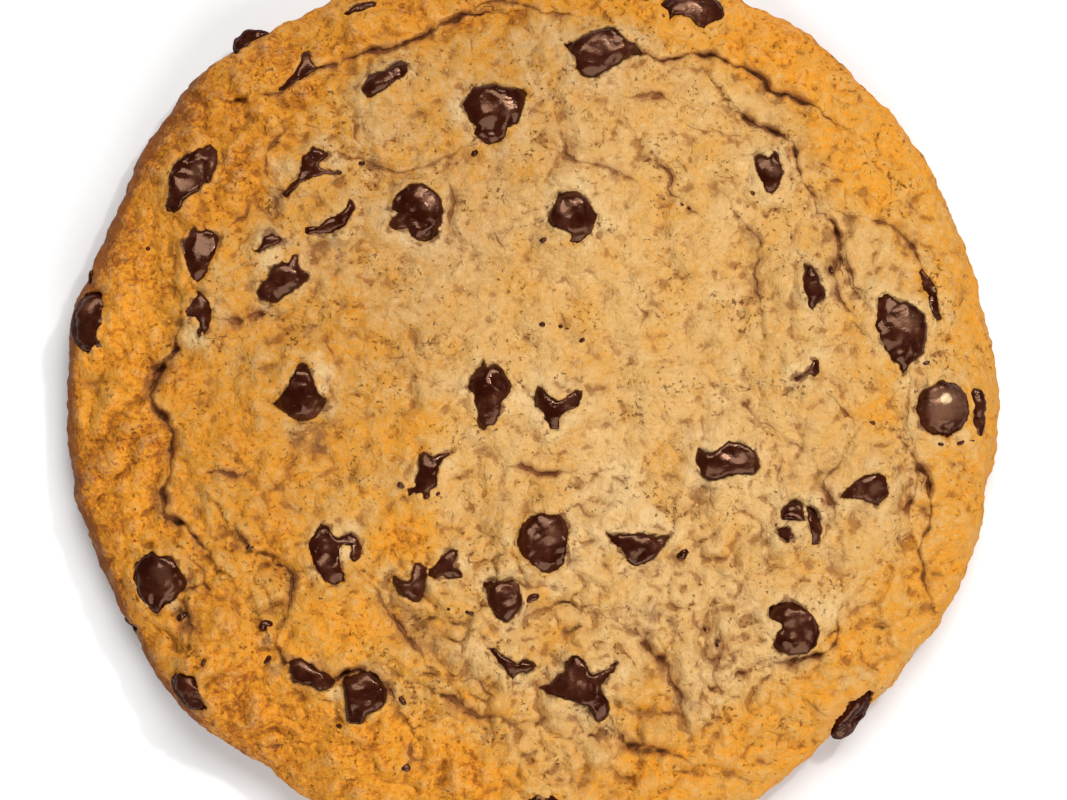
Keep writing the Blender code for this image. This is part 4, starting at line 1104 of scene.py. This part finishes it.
# Pale flaps of dough lifted by a morsel: x, y, radius, amount.
paleFlaps = (
    (-22.3, 3.6, 1.2, 0.85), (-22.6, 1.8, 0.9, 0.8), (-23.2, 5.2, 0.9, 0.5), (-8.8, -6.8, 1.3, 0.6),
    (12.7, -12.4, 1.7, 0.9), (3.1, 2.7, 1.2, 0.5), (-28.3, 15.8, 1.4, 0.7), (-26.9, 25.8, 1.6, 0.5),
    (-27.9, -28.6, 1, 0.5), (-21.3, -31.2, 1.1, 0.7), (-36.8, 7.4, 1.6, 0.6), (-20.2, -16, 1.1, 0.8),
    (2.4, -19.3, 1.5, 0.6), (32.2, -22.4, 1.3, 0.5), (41.3, 10.9, 1.3, 0.6), (42.9, 10.6, 0.8, 0.5),
    (41.8, -9.6, 1.2, 0.5), (5, 24, 1.4, 0.5), (-1.2, -29.8, 1.8, 0.6), (-29, -25.7, 1.2, 0.45),
    (-39, -21.6, 0.9, 0.5), (-7.2, -17.2, 0.9, 0.5), (19, -4.6, 0.9, 0.7), (23, -7.9, 1.2, 0.5),
    (-6.6, -29, 1.3, 0.3), (4.6, -1.6, 1, 0.5), (7.6, -38.4, 1, 0.35), (26, -24.2, 1, 0.5),
    (28.8, -14.4, 1.3, 0.4), (-12.2, -6.8, 0.6, 0.5), (-23.2, 37.2, 0.9, 0.35), (27.6, 27.6, 0.9, 0.5),
    (46.6, -3.4, 1, 0.5), (-1, -22.9, 0.9, 0.4), (-2.8, -24.4, 1.2, 0.4), (-3, -27.9, 0.9, 0.4),
    (-37.5, 2.5, 1, 0.2), (-39, 5.2, 0.9, 0.35), (-23.4, -18.3, 0.9, 0.5), (22.8, 26.6, 1, 0.35),
)

# Where the browned rim begins, by direction in degrees: direction, radius.
rimLine = (
    (0, 43), (20, 44), (30, 41), (37, 39), (50, 42), (70, 42), (90, 41.5), (120, 40), (150, 36),
    (180, 40.5), (210, 38), (240, 35), (270, 38), (300, 40), (320, 41), (340, 43), (360, 43),
)

# Chocolate rubbed into the dough, and painted brown shade in soft valleys near the creases: x, y, radius,
# amount.
smearsAndShades = (
    (-24, -3.6, 2.6, 0.75), (-21.5, -2, 1.2, 0.5), (-13, -23.4, 2.2, 0.5), (-10.6, -25.6, 1.8, 0.62),
    (-14.3, 4.3, 1.4, 0.4), (18.4, -9.3, 1.3, 0.6), (32.5, -16.5, 1.5, 0.5), (-23, 16.6, 1.2, 0.65),
    (-17, 26.4, 0.8, 0.7), (17.4, -32.7, 1.1, 0.7), (-6.8, 27.4, 1.1, 0.55), (-7.8, 26.2, 0.9, 0.35),
    (13.2, -22.6, 1.5, 0.65), (15, -23.4, 0.8, 0.8), (4.6, 7.4, 1, 0.45), (-8.2, 22.5, 1.1, 0.6),
    (-8.6, 19.6, 0.8, 0.4), (12.5, -17.8, 1.8, 0.5), (15.5, -16.8, 1.1, 0.4), (36.6, -11.6, 1.3, 0.3),
    (7, 20, 0.8, 0.4), (-49, 2.8, 1.4, 0.45), (30.6, 2.6, 1, 0.4), (4.6, -16.2, 1.2, 0.5),
    (-0.5, -22.6, 1, 0.5), (27, -27.4, 1.4, 0.35), (31.6, -24.6, 0.9, 0.35), (-14.6, -32, 1.2, 0.45),
    (-24.6, 34.4, 1, 0.2), (-38, -22.6, 1, 0.5), (7, -31.4, 1, 0.3), (2, -30.6, 1.4, 0.3),
    (-35.9, 12.6, 0.9, 0.6), (0.3, -20.2, 0.9, 0.3), (28.4, -14.6, 1.6, 0.35), (24.4, 17, 1.6, 0.4),
    (24, 12.6, 1.5, 0.35), (33, 15.4, 1.2, 0.5), (33.6, 12.6, 1.2, 0.4), (30.4, 26.6, 1.4, 0.45),
    (31.8, 22.6, 1.2, 0.4), (26.4, 30.4, 1.4, 0.4), (29.4, 28.6, 1.2, 0.4), (24, 36.6, 1.4, 0.35),
    (28.6, 34, 1.2, 0.35), (-41, -1.6, 1.2, 0.35), (-38.2, -9, 1.2, 0.35), (-16, -21.6, 1.2, 0.6),
    (-8.6, -27.6, 1.4, 0.6), (-6.4, -30, 1.2, 0.4), (-26.4, -19.4, 1.2, 0.35), (-16.4, -29.6, 1.1, 0.5),
    (-13.4, -31.8, 1.2, 0.5), (12.4, -24.8, 1.2, 0.5), (14.4, -28.6, 1.2, 0.5), (16.2, -32, 1.2, 0.5),
    (20.2, -27, 1.1, 0.35), (41.2, -3.6, 1, 0.35), (42.8, -7, 1, 0.35),
)


# How brown the crust is, from 0 for the palest to 1 for nearly burnt, with painted shade added on the upper
# rim, the left rim and the left wall.
baking = {
    "least": 0.26,
    "towardsLeft": 0.18,    # how much browner the left side is
    "outsideRimLine": 0.2,
    "edge": 0.05,
    "upperEdgeShade": 0.16,
    "leftEdgeShade": 0.04,
    "leftWallShade": 0.62,
    "lowWall": 0.3,
    "broadPatches": 0.1,
    "smallPatches": 0.08,
    "lapPaler": 0.1,        # how much paler the dough that laps over a morsel is
    "hollowDepth": 0.35,    # depth of a hollow that counts in full
}


def paintDough(mesh):
    places = cornerPlaces(mesh) / mm
    x, y, z = places.T
    angle = np.arctan2(y, x)
    radius = np.hypot(x, y)
    share = radius / edgeRadius(angle)
    rim = np.interp(np.degrees(angle) % 360.0, [row[0] for row in rimLine], [row[1] for row in rimLine])
    stray = 1.6 * grain(places, 4.5, 3, 13.0)
    toastAndShade = baking["least"] + baking["towardsLeft"] * smoothStep(-4.0, -24.0, x + 0.25 * y + 2.0 * stray)
    outside = baking["outsideRimLine"] * smoothStep(-1.6, 2.2, radius - rim + stray)
    toastAndShade += outside + baking["edge"] * smoothStep(0.93, 1.0, share)
    # Painted shade: the upper rim and the left rim are darkened as if less light fell on them.
    upper = baking["upperEdgeShade"] * smoothStep(20.0, 42.0, y)
    toastAndShade += smoothStep(0.8, 0.95, share) * (upper + baking["leftEdgeShade"] * smoothStep(-20.0, -46.0, x))
    # Painted shade: the last millimetre of the left wall is darkened where it turns away from the light.
    toastAndShade += baking["leftWallShade"] * smoothStep(0.965, 1.0, share) * smoothStep(-30.0, -46.0, x)
    warp = 0.45 * grain(places, 1.6, 3, 12.0)
    for px, py, reach, amount in bakePatches:
        toastAndShade += amount * bump(np.maximum(radiiFrom(x, y, px, py, reach) + warp, 0.0))
    broad = baking["broadPatches"] * grain(places, 6.0, 3, 11.0)
    toastAndShade += broad + baking["smallPatches"] * grain(places, 2.2, 3, 16.0)
    toastAndShade += baking["lowWall"] * smoothStep(6.0, 1.5, z) * smoothStep(0.9, 0.97, share)
    smearAndShade = strongestMark(x, y, smearsAndShades, 1.35, 0.45, warp)
    flap = strongestMark(x, y, paleFlaps, 1.35, 0.45, warp)
    inside = openingDistance(x, y, 4.0)
    uneven = grain(places, 2.4, 3, 14.0)
    paler = np.clip(baking["lapPaler"] + 0.25 * uneven, 0.0, 0.25)
    toastAndShade -= paler * bump((-inside - 0.8) / 0.8) * smoothStep(2.0, 5.0, z)
    melt = smoothStep(0.6, 0.0, -inside + 0.7 * grain(places, 0.8, 2, 15.0))
    melt = melt * smoothStep(-0.25, 0.2, uneven) * smoothStep(44.0, 42.5, radius)
    # Where the painted shade of the cracks lies and how strong it is.
    sideways, strength = crackMarks(x, y)
    # How far each corner lies below its neighbours; it places painted shade in hollows and painted light on
    # raised spots.
    hollow = smoothedOverMesh(mesh, z, 14) - z
    paint(mesh, "toastAndShade", np.clip(toastAndShade, 0.0, 1.3))
    # Painted shade over the left and upper left of the crust.
    paint(mesh, "dull", smoothStep(0.0, -26.0, x - 0.7 * y + 3.0 * stray) * smoothStep(-46.0, -37.0, x))
    paint(mesh, "smearAndShade", smearAndShade * (z > 2.0))
    paint(mesh, "flap", flap * (z > 2.0))
    paint(mesh, "melt", melt * (z > 2.0))
    paint(mesh, "hollow", np.clip(hollow / baking["hollowDepth"], -1.0, 1.0))
    paint(mesh, "crackSide", np.clip(sideways, -9.0, 9.0))
    paint(mesh, "crackShade", strength * smoothStep(3.0, 6.0, z))
    paint(mesh, "underside", smoothStep(1.1, 0.4, z) * smoothStep(48.5, 47.0, radius))


# Loose bits of chocolate lying in the crust: x, y, length, width, turn in degrees.
flecks = (
    (1.1, 8.7, 0.7, 0.5, 0), (3, 8.5, 0.7, 0.4, 10), (3.8, 8.3, 0.6, 0.4, -20), (5.4, 7, 0.7, 0.5, 30),
    (-14.1, -8.7, 1.1, 0.7, -35), (16.3, -16.2, 1.6, 1.1, 30), (0, -20.9, 1.9, 1.1, 15),
    (-28.9, -23.9, 1.7, 1.2, 20), (-28.7, -27.6, 1.2, 0.8, 50), (3.8, 38.9, 1, 0.7, 0),
    (36.8, -1.8, 0.9, 0.5, -25), (16.3, 21.7, 0.6, 0.4, -30), (17, 21.3, 0.6, 0.4, -40),
    (20.1, -25.7, 1, 0.7, 70), (18.8, -24.3, 0.8, 0.5, -40), (-20.8, -34.8, 1, 0.6, -40),
    (42.7, 4.6, 0.9, 0.5, 0), (48.45, 0.2, 3.6, 2.1, 96), (48.45, -1.9, 3.8, 2.1, 86),
    (46.5, -4.1, 0.8, 0.4, 20), (47.8, -3.9, 0.7, 0.4, 0), (-35.5, -27.9, 0.9, 0.7, 60),
    (-41.7, 17, 0.6, 0.5, 0), (-38, -23.1, 1.6, 1.1, 30), (1.2, 17.8, 1.2, 0.5, 10),
    (-14, -32, 1.3, 0.8, -60), (-6.8, -22.4, 1, 0.5, -15), (-9, -22, 0.9, 0.5, 0),
    (-13.7, -39.3, 1.2, 0.9, 0), (-35.9, 8, 0.6, 1.4, 0), (27.6, -14.8, 0.8, 0.5, 0),
    (26.5, -13, 0.7, 0.5, 0), (-18.4, 26.2, 0.9, 0.5, 20), (-6.2, 27.3, 1.2, 0.7, 40),
    (28.8, 27.2, 0.6, 0.4, 0), (23.9, 22.9, 0.7, 0.4, -20), (-10.2, -9.6, 0.6, 0.4, 0),
    (-22.8, -20.9, 0.5, 0.4, 0), (-48.1, 14, 1.8, 0.7, 75), (-30.5, -15.4, 1, 0.5, 20),
    (44.3, -4.2, 0.6, 0.4, 0), (14.2, 42.2, 0.6, 0.5, 0),
)


def joinedLumps(name, lumps, detail, roughness):
    # One mesh of many small lumps: place, half sizes and turn of each.
    bm = bmesh.new()
    for place, sizes, turn in lumps:
        made = bmesh.ops.create_icosphere(bm, subdivisions=detail, radius=1.0)
        shape = turn.to_matrix().to_4x4() @ Matrix.Diagonal((*sizes, 1.0 / mm))
        matrix = Matrix.Translation(Vector(place) * mm) @ shape * mm
        matrix[3][3] = 1.0
        bmesh.ops.transform(bm, matrix=matrix, verts=made["verts"])
    mesh = finishedMesh(name, bm)
    places = cornerPlaces(mesh) / mm
    normals = cornerNormals(mesh)
    places += normals * (roughness * grain(places, 0.6, 2, 51.0))[:, None]
    moveCorners(mesh, places * mm)
    return mesh


def buildFlecks(material, sideMaterial, doughHeights):
    x, y = np.array([row[0] for row in flecks]), np.array([row[1] for row in flecks])
    tops = doughHeights(x, y)
    lumps = []
    for (px, py, length, width, turn), top in zip(flecks, tops):
        thick = 0.3 * min(width, 1.8)
        sizes = (0.45 * length, 0.42 * width, thick)
        lumps.append(((px, py, top + 0.1 * thick), sizes, Euler((0, 0, math.radians(turn)))))
    mesh = joinedLumps("chocolate_flecks", lumps, 3, 0.2)
    print("flecks:", len(mesh.polygons), "faces")
    newPiece("chocolate_flecks", mesh, material, "chocolate")
    dullSides(mesh, sideMaterial)


crumbs = {
    "count": 620,
    "radius": (0.12, 0.34),
    "seed": 17,
    "sunk": 0.35,           # share of its radius that a crumb is pressed into the crust
    "within": 46.0,
    "farthest": 46.5,
    "strewn": 0.8,          # how far crumbs lie from an opening's edge
    "lowest": 5.0,          # height below which no crumb stays
}


def buildCrumbs(material, doughHeights):
    dice = random.Random(crumbs["seed"])
    spots = []
    while len(spots) < crumbs["count"]:
        if len(spots) % 2:
            chip = dice.choice(chips)
            corner = dice.choice(dice.choice(chip["loops"]))
            spots.append(tuple(value + dice.gauss(0, crumbs["strewn"]) for value in corner))
        else:
            radius, angle = crumbs["within"] * math.sqrt(dice.random()), dice.uniform(0, 2 * math.pi)
            spots.append((radius * math.cos(angle), radius * math.sin(angle)))
    spots = [spot for spot in spots if math.hypot(*spot) < crumbs["farthest"]]
    x, y = np.array(spots).T
    lumps = []
    for (px, py), top in zip(spots, doughHeights(x, y)):
        size = dice.uniform(*crumbs["radius"])
        sizes = tuple(size * dice.uniform(0.7, 1.3) for _ in range(3))
        turn = Euler([dice.uniform(0, 6.28) for _ in range(3)])
        if top > crumbs["lowest"]:
            lumps.append(((px, py, top - crumbs["sunk"] * size), sizes, turn))
    mesh = joinedLumps("crumbs", lumps, 1, 0.06)
    paintDough(mesh)
    print("crumbs:", len(mesh.polygons), "faces")
    return newPiece("crumbs", mesh, material, "dough")


def newMaterial(name, colour, roughness):
    material = bpy.data.materials.new(name)
    material.use_nodes = True
    material.diffuse_color = (*colour, 1.0)
    shader = material.node_tree.nodes["Principled BSDF"]
    shader.inputs["Base Color"].default_value = (*colour, 1.0)
    shader.inputs["Roughness"].default_value = roughness
    return material, material.node_tree, shader


def connect(value, socket):
    # Links a socket to the value, or sets it where the value is a number or a colour.
    if isinstance(value, bpy.types.NodeSocket):
        socket.id_data.links.new(value, socket)
    elif isinstance(value, tuple) and len(value) == 3 and socket.type == "RGBA":
        socket.default_value = (*value, 1.0)
    else:
        socket.default_value = value


def texture(tree, kind, output, **inputs):
    node = tree.nodes.new(kind)
    for name, value in inputs.items():
        connect(value, node.inputs[name])
    return node.outputs[output]


def readAttribute(tree, name):
    node = tree.nodes.new("ShaderNodeAttribute")
    node.attribute_name = name
    return node.outputs["Fac"]


def objectPlaces(tree):
    return tree.nodes.new("ShaderNodeTexCoord").outputs["Object"]


def reckoned(operation, first, second=0.0):
    node = first.id_data.nodes.new("ShaderNodeMath")
    node.operation = operation
    connect(first, node.inputs[0])
    connect(second, node.inputs[1])
    return node.outputs[0]


def added(first, second):
    return reckoned("ADD", first, second)


def times(first, second):
    return reckoned("MULTIPLY", first, second)


def between(value, low, high, lowest=0.0, highest=1.0):
    # The value's range from low to high made lowest to highest, smoothly and no further.
    node = value.id_data.nodes.new("ShaderNodeMapRange")
    node.interpolation_type = "SMOOTHSTEP"
    for place, given in enumerate((value, low, high, lowest, highest)):
        connect(given, node.inputs[place])
    return node.outputs[0]


def mixed(share, first, second, blend="MIX"):
    node = share.id_data.nodes.new("ShaderNodeMix")
    node.data_type = "RGBA"
    node.blend_type = blend
    for place, value in ((0, share), (6, first), (7, second)):
        connect(value, node.inputs[place])
    return node.outputs[2]


def ramp(factor, stops):
    node = factor.id_data.nodes.new("ShaderNodeValToRGB")
    connect(factor, node.inputs[0])
    elements = node.color_ramp.elements
    while len(elements) < len(stops):
        elements.new(0.5)
    for element, (place, colour) in zip(elements, stops):
        element.position = place
        element.color = (*colour, 1.0)
    return node.outputs[0]


def mottleGroup():
    # Layered noise stretched about its middle value, used by the crust and the chocolate.
    group = bpy.data.node_groups.new("mottle", "ShaderNodeTree")
    for name, kind in (("Vector", "Vector"), ("Scale", "Float"), ("Contrast", "Float")):
        group.interface.new_socket(name, in_out="INPUT", socket_type="NodeSocket" + kind)
    group.interface.new_socket("Value", in_out="OUTPUT", socket_type="NodeSocketFloat")
    given = group.nodes.new("NodeGroupInput")
    result = group.nodes.new("NodeGroupOutput")
    layered = texture(group, "ShaderNodeTexNoise", "Fac", Vector=given.outputs["Vector"],
                      Scale=given.outputs["Scale"], Detail=4.0, Roughness=0.65)
    centred = reckoned("SUBTRACT", layered, 0.5)
    connect(times(centred, given.outputs["Contrast"]), result.inputs["Value"])
    return group


def mottle(group, spot, scale, contrast=1.0):
    node = spot.id_data.nodes.new("ShaderNodeGroup")
    node.node_tree = group
    for name, value in (("Vector", spot), ("Scale", scale), ("Contrast", contrast)):
        connect(value, node.inputs[name])
    return node.outputs["Value"]


crustLooks = {
    "shades": (
        (0.0, (0.72, 0.47, 0.205)),
        (0.24, (0.64, 0.363, 0.117)),
        (0.44, (0.645, 0.297, 0.044)),
        (0.66, (0.74, 0.285, 0.016)),
        (0.88, (0.49, 0.152, 0.009)),
        (1.0, (0.28, 0.078, 0.007)),
    ),
    # painted shade laid over the left and upper left of the crust
    "dull": (0.66, 0.68, 1.0),
    "crack": (0.20, 0.062, 0.017),
    "shaded": (0.34, 0.125, 0.032),
    "melt": (0.15, 0.050, 0.018),
    "creviceShade": (0.21, 0.060, 0.009),
    "speck": (0.25, 0.072, 0.011),
    "rubbedAndShaded": (0.25, 0.110, 0.040),
    "flap": (0.74, 0.51, 0.24),
    "underside": (0.34, 0.120, 0.022),
    # How strongly each of these colours shows at most.
    "leftShadeShare": 0.36,
    "flapShare": 0.8,
    "creviceShadeShare": 0.62,
    "raisedLightShare": 0.2,
    "speckShare": 0.8,
    "paleShare": 0.35,
    "shadedShare": 0.78,
    "rubbedAndShadedShare": 0.8,
    "meltShare": 0.75,
    # Sizes of the noises, in lumps to a metre.
    "broad": 130.0,
    "gather": 240.0,
    "middling": 560.0,
    "fine": 1900.0,
    "specks": 1950.0,
    "wholeColour": (0.66, 0.34, 0.09),
    "roughness": 0.72,
    "specular": 0.18,
    "relief": 0.00042,      # height of the finest relief in metres
    "stray": 0.0007,        # how far the finer noises are pulled out of place in metres
}


def roughen(shader, height, strength, distance):
    relief = texture(shader.id_data, "ShaderNodeBump", "Normal",
                     Strength=strength, Distance=distance, Height=height)
    connect(relief, shader.inputs["Normal"])


def crustMaterial(group):
    looks = crustLooks
    palest = looks["shades"][0][1]
    material, tree, shader = newMaterial("bakedCrust", looks["wholeColour"], looks["roughness"])
    spot = objectPlaces(tree)
    shift = texture(tree, "ShaderNodeTexNoise", "Color", Vector=spot, Scale=900.0, Detail=2.0)
    moved = tree.nodes.new("ShaderNodeVectorMath")
    moved.operation = "MULTIPLY_ADD"
    for place, value in enumerate((shift, (looks["stray"],) * 3, spot)):
        connect(value, moved.inputs[place])
    ragged = moved.outputs[0]

    toastAndShade = readAttribute(tree, "toastAndShade")
    broad = mottle(group, spot, looks["broad"], 0.45)
    middling = mottle(group, ragged, looks["middling"])
    fine = mottle(group, ragged, looks["fine"])
    # The browner the crust, the more it is marbled.
    marbled = added(times(middling, 0.35), times(fine, 1.3))
    marbled = times(marbled, between(toastAndShade, 0.2, 0.6, 0.38, 0.85))
    shade = added(added(toastAndShade, broad), marbled)
    colour = ramp(shade, looks["shades"])
    # Painted shade: the left and upper left of the crust are darkened.
    leftShaded = between(added(readAttribute(tree, "dull"), fine), 0.0, 1.2, 0.0, looks["leftShadeShare"])
    colour = mixed(leftShaded, colour, looks["dull"], "MULTIPLY")
    flap = between(added(readAttribute(tree, "flap"), middling), 0.1, 0.9, 0.0, looks["flapShare"])
    colour = mixed(flap, colour, looks["flap"])

    # Painted shade in the hollows and painted light on the raised spots, broken up by noise.
    hollow = readAttribute(tree, "hollow")
    creviceShade = added(hollow, added(fine, times(middling, 0.4)))
    creviceShade = times(between(creviceShade, 0.15, 0.95), looks["creviceShadeShare"])
    colour = mixed(creviceShade, colour, looks["creviceShade"])
    raisedLight = between(hollow, -0.15, -0.9)
    colour = mixed(times(raisedLight, looks["raisedLightShare"]), colour, palest)

    # Browned pores, thicker where a slow field lets them gather.
    gather = mottle(group, spot, looks["gather"])
    specks = mottle(group, ragged, looks["specks"])
    pore = added(added(specks, times(fine, 0.4)), times(gather, 0.5))
    marks = between(pore, 0.13, 0.32)
    pale = between(pore, -0.1, -0.3)
    colour = mixed(times(marks, looks["speckShare"]), colour, looks["speck"])
    colour = mixed(times(pale, looks["paleShare"]), colour, palest)

    # Painted shade: soft brown beside each crack and dark in its slit.
    sideways = added(readAttribute(tree, "crackSide"), times(fine, 2.4))
    sideways = reckoned("ABSOLUTE", sideways)
    strength = readAttribute(tree, "crackShade")
    shaded = times(between(sideways, 4.2, 0.8), strength)
    colour = mixed(times(shaded, looks["shadedShare"]), colour, looks["shaded"])
    crack = times(between(sideways, 1.1, 0.2), strength)
    colour = mixed(crack, colour, looks["crack"])
    # Rubbed-in chocolate and painted brown shade in soft valleys, broken up by noise.
    patchy = added(times(added(middling, fine), 2.4), 1.0)
    rubbedAndShaded = between(times(readAttribute(tree, "smearAndShade"), patchy), 0.0, 1.2, 0.0, looks["rubbedAndShadedShare"])
    colour = mixed(rubbedAndShaded, colour, looks["rubbedAndShaded"])
    melted = between(added(readAttribute(tree, "melt"), fine), 0.25, 0.95, 0.0, looks["meltShare"])
    colour = mixed(melted, colour, looks["melt"])
    below = times(readAttribute(tree, "underside"), between(middling, -0.2, 0.2, 0.6, 0.95))
    colour = mixed(below, colour, looks["underside"])
    connect(colour, shader.inputs["Base Color"])

    height = added(middling, times(fine, 0.8))
    height = reckoned("SUBTRACT", height, times(marks, 0.9))
    height = reckoned("SUBTRACT", height, times(crack, 0.8))
    roughen(shader, height, 1.0, looks["relief"])
    connect(between(middling, -0.2, 0.2, 0.62, 0.82), shader.inputs["Roughness"])
    shader.inputs["Specular IOR Level"].default_value = looks["specular"]
    return material


chocolateLooks = {
    "deep": (0.021, 0.0018, 0.0003),
    "bright": (0.060, 0.0135, 0.006),
    # the film's colour, also laid on as painted sheen
    "film": (0.19, 0.090, 0.050),
    "paintedHighlight": (0.62, 0.47, 0.26),
    "specular": {"darkChocolate": 0.5, "chocolateSide": 0.02},
    "specularTint": (1.0, 0.55, 0.34),
    "roughness": 0.25,
    "polish": (0.14, 0.35),     # roughness from the glossiest to the dullest places
    "flankDuller": 0.25,
    "filmShare": 0.7,           # how strongly the film and the painted sheen show at most
    "paintedSheenShare": 0.8,
    "cloud": 330.0,             # sizes of the noises, in lumps to a metre
    "fine": 1300.0,
    "relief": 0.0004,           # height of the finest relief in metres
    "reliefStrength": 0.3,
}


def chocolateMaterial(name, group):
    looks = chocolateLooks
    material, tree, shader = newMaterial(name, looks["deep"], looks["roughness"])
    spot = objectPlaces(tree)
    cloud = mottle(group, spot, looks["cloud"])
    fine = mottle(group, spot, looks["fine"])
    colour = mixed(between(cloud, -0.15, 0.25), looks["deep"], looks["bright"])
    film = between(added(cloud, times(fine, 0.8)), 0.14, 0.36)
    colour = mixed(times(film, looks["filmShare"]), colour, looks["film"])
    # Painted sheen where the chips' tops would catch the lamps' light.
    paintedSheen = between(added(readAttribute(tree, "paintedSheen"), cloud), 0.05, 0.9, 0.0, looks["paintedSheenShare"])
    colour = mixed(paintedSheen, colour, looks["film"])
    # Painted highlight: a pale spot where the painted sheen runs past 1.
    dappled = times(added(cloud, fine), 1.5)
    paintedHighlight = between(added(readAttribute(tree, "paintedSheen"), dappled), 0.95, 1.6)
    colour = mixed(paintedHighlight, colour, looks["paintedHighlight"])
    connect(colour, shader.inputs["Base Color"])
    polish = between(cloud, -0.15, 0.3, *looks["polish"])
    dull = times(readAttribute(tree, "flank"), looks["flankDuller"])
    connect(added(polish, dull), shader.inputs["Roughness"])
    height = added(cloud, times(fine, 0.25))
    roughen(shader, height, looks["reliefStrength"], looks["relief"])
    shader.inputs["Specular IOR Level"].default_value = looks["specular"][name]
    shader.inputs["Specular Tint"].default_value = (*looks["specularTint"], 1.0)
    return material


studio = {
    "floorSize": 3.0,
    "floorShade": 0.86,
    "worldStrength": 0.13,
    # Soft lamps: place, size, and how bright each alone makes a white floor.
    "lamps": {
        "softbox": ((0.04, 0.50, 0.75), 0.58, 0.67),
        "spark": ((0.35, 0.42, 0.75), 0.07, 0.22),
        "fill": ((0.20, -0.62, 0.50), 0.80, 0.52),
    },
    "lens": 200.0,
    "sensor": 36.0,
    "viewWidth": 116.57,
    "viewCentre": (0.16, 0.55),
    "viewPlane": 5.5,
}


def addLamp(name, place, size, brightness):
    light = bpy.data.lights.new(name, "AREA")
    light.shape = "DISK"
    light.size = size
    towards = Vector(place)
    light.energy = brightness * math.pi**2 * towards.length_squared * towards.length / towards.z
    lamp = helperObject(name, light)
    lamp.location = place
    lamp.rotation_euler = (-towards).to_track_quat("-Z", "Y").to_euler()


def buildStudio():
    bm = bmesh.new()
    bmesh.ops.create_grid(bm, x_segments=2, y_segments=2, size=0.5 * studio["floorSize"])
    bmesh.ops.translate(bm, vec=(0, 0, -0.05 * mm), verts=bm.verts)
    mesh = finishedMesh("floor", bm)
    floor = helperObject("floor", mesh)
    shade = (studio["floorShade"],) * 3
    material, _, shader = newMaterial("paleFloor", shade, 0.9)
    shader.inputs["Specular IOR Level"].default_value = 0.1
    mesh.materials.append(material)
    world = bpy.data.worlds.new("softStudio")
    world.use_nodes = True
    backdrop = world.node_tree.nodes["Background"]
    backdrop.inputs["Color"].default_value = (1.0, 1.0, 1.0, 1.0)
    backdrop.inputs["Strength"].default_value = studio["worldStrength"]
    bpy.context.scene.world = world
    for name, (place, size, brightness) in studio["lamps"].items():
        addLamp(name, place, size, brightness)
    camera = bpy.data.cameras.new("overhead")
    camera.lens = studio["lens"]
    camera.sensor_width = studio["sensor"]
    away = studio["viewWidth"] * studio["lens"] / studio["sensor"] + studio["viewPlane"]
    viewer = helperObject("overhead", camera)
    viewer.location = (studio["viewCentre"][0] * mm, studio["viewCentre"][1] * mm, away * mm)
    bpy.context.scene.camera = viewer
    bpy.context.scene.view_settings.view_transform = "Standard"


mottling = mottleGroup()
crust = crustMaterial(mottling)
chocolate = chocolateMaterial("darkChocolate", mottling)
chocolateSide = chocolateMaterial("chocolateSide", mottling)
chipHeights = buildChips(chocolate, chocolateSide)
doughPiece = buildDough(crust, chipHeights)
doughHeights = heightFinder(doughPiece.data)
buildFlecks(chocolate, chocolateSide, doughHeights)
buildCrumbs(crust, doughHeights)
buildStudio()
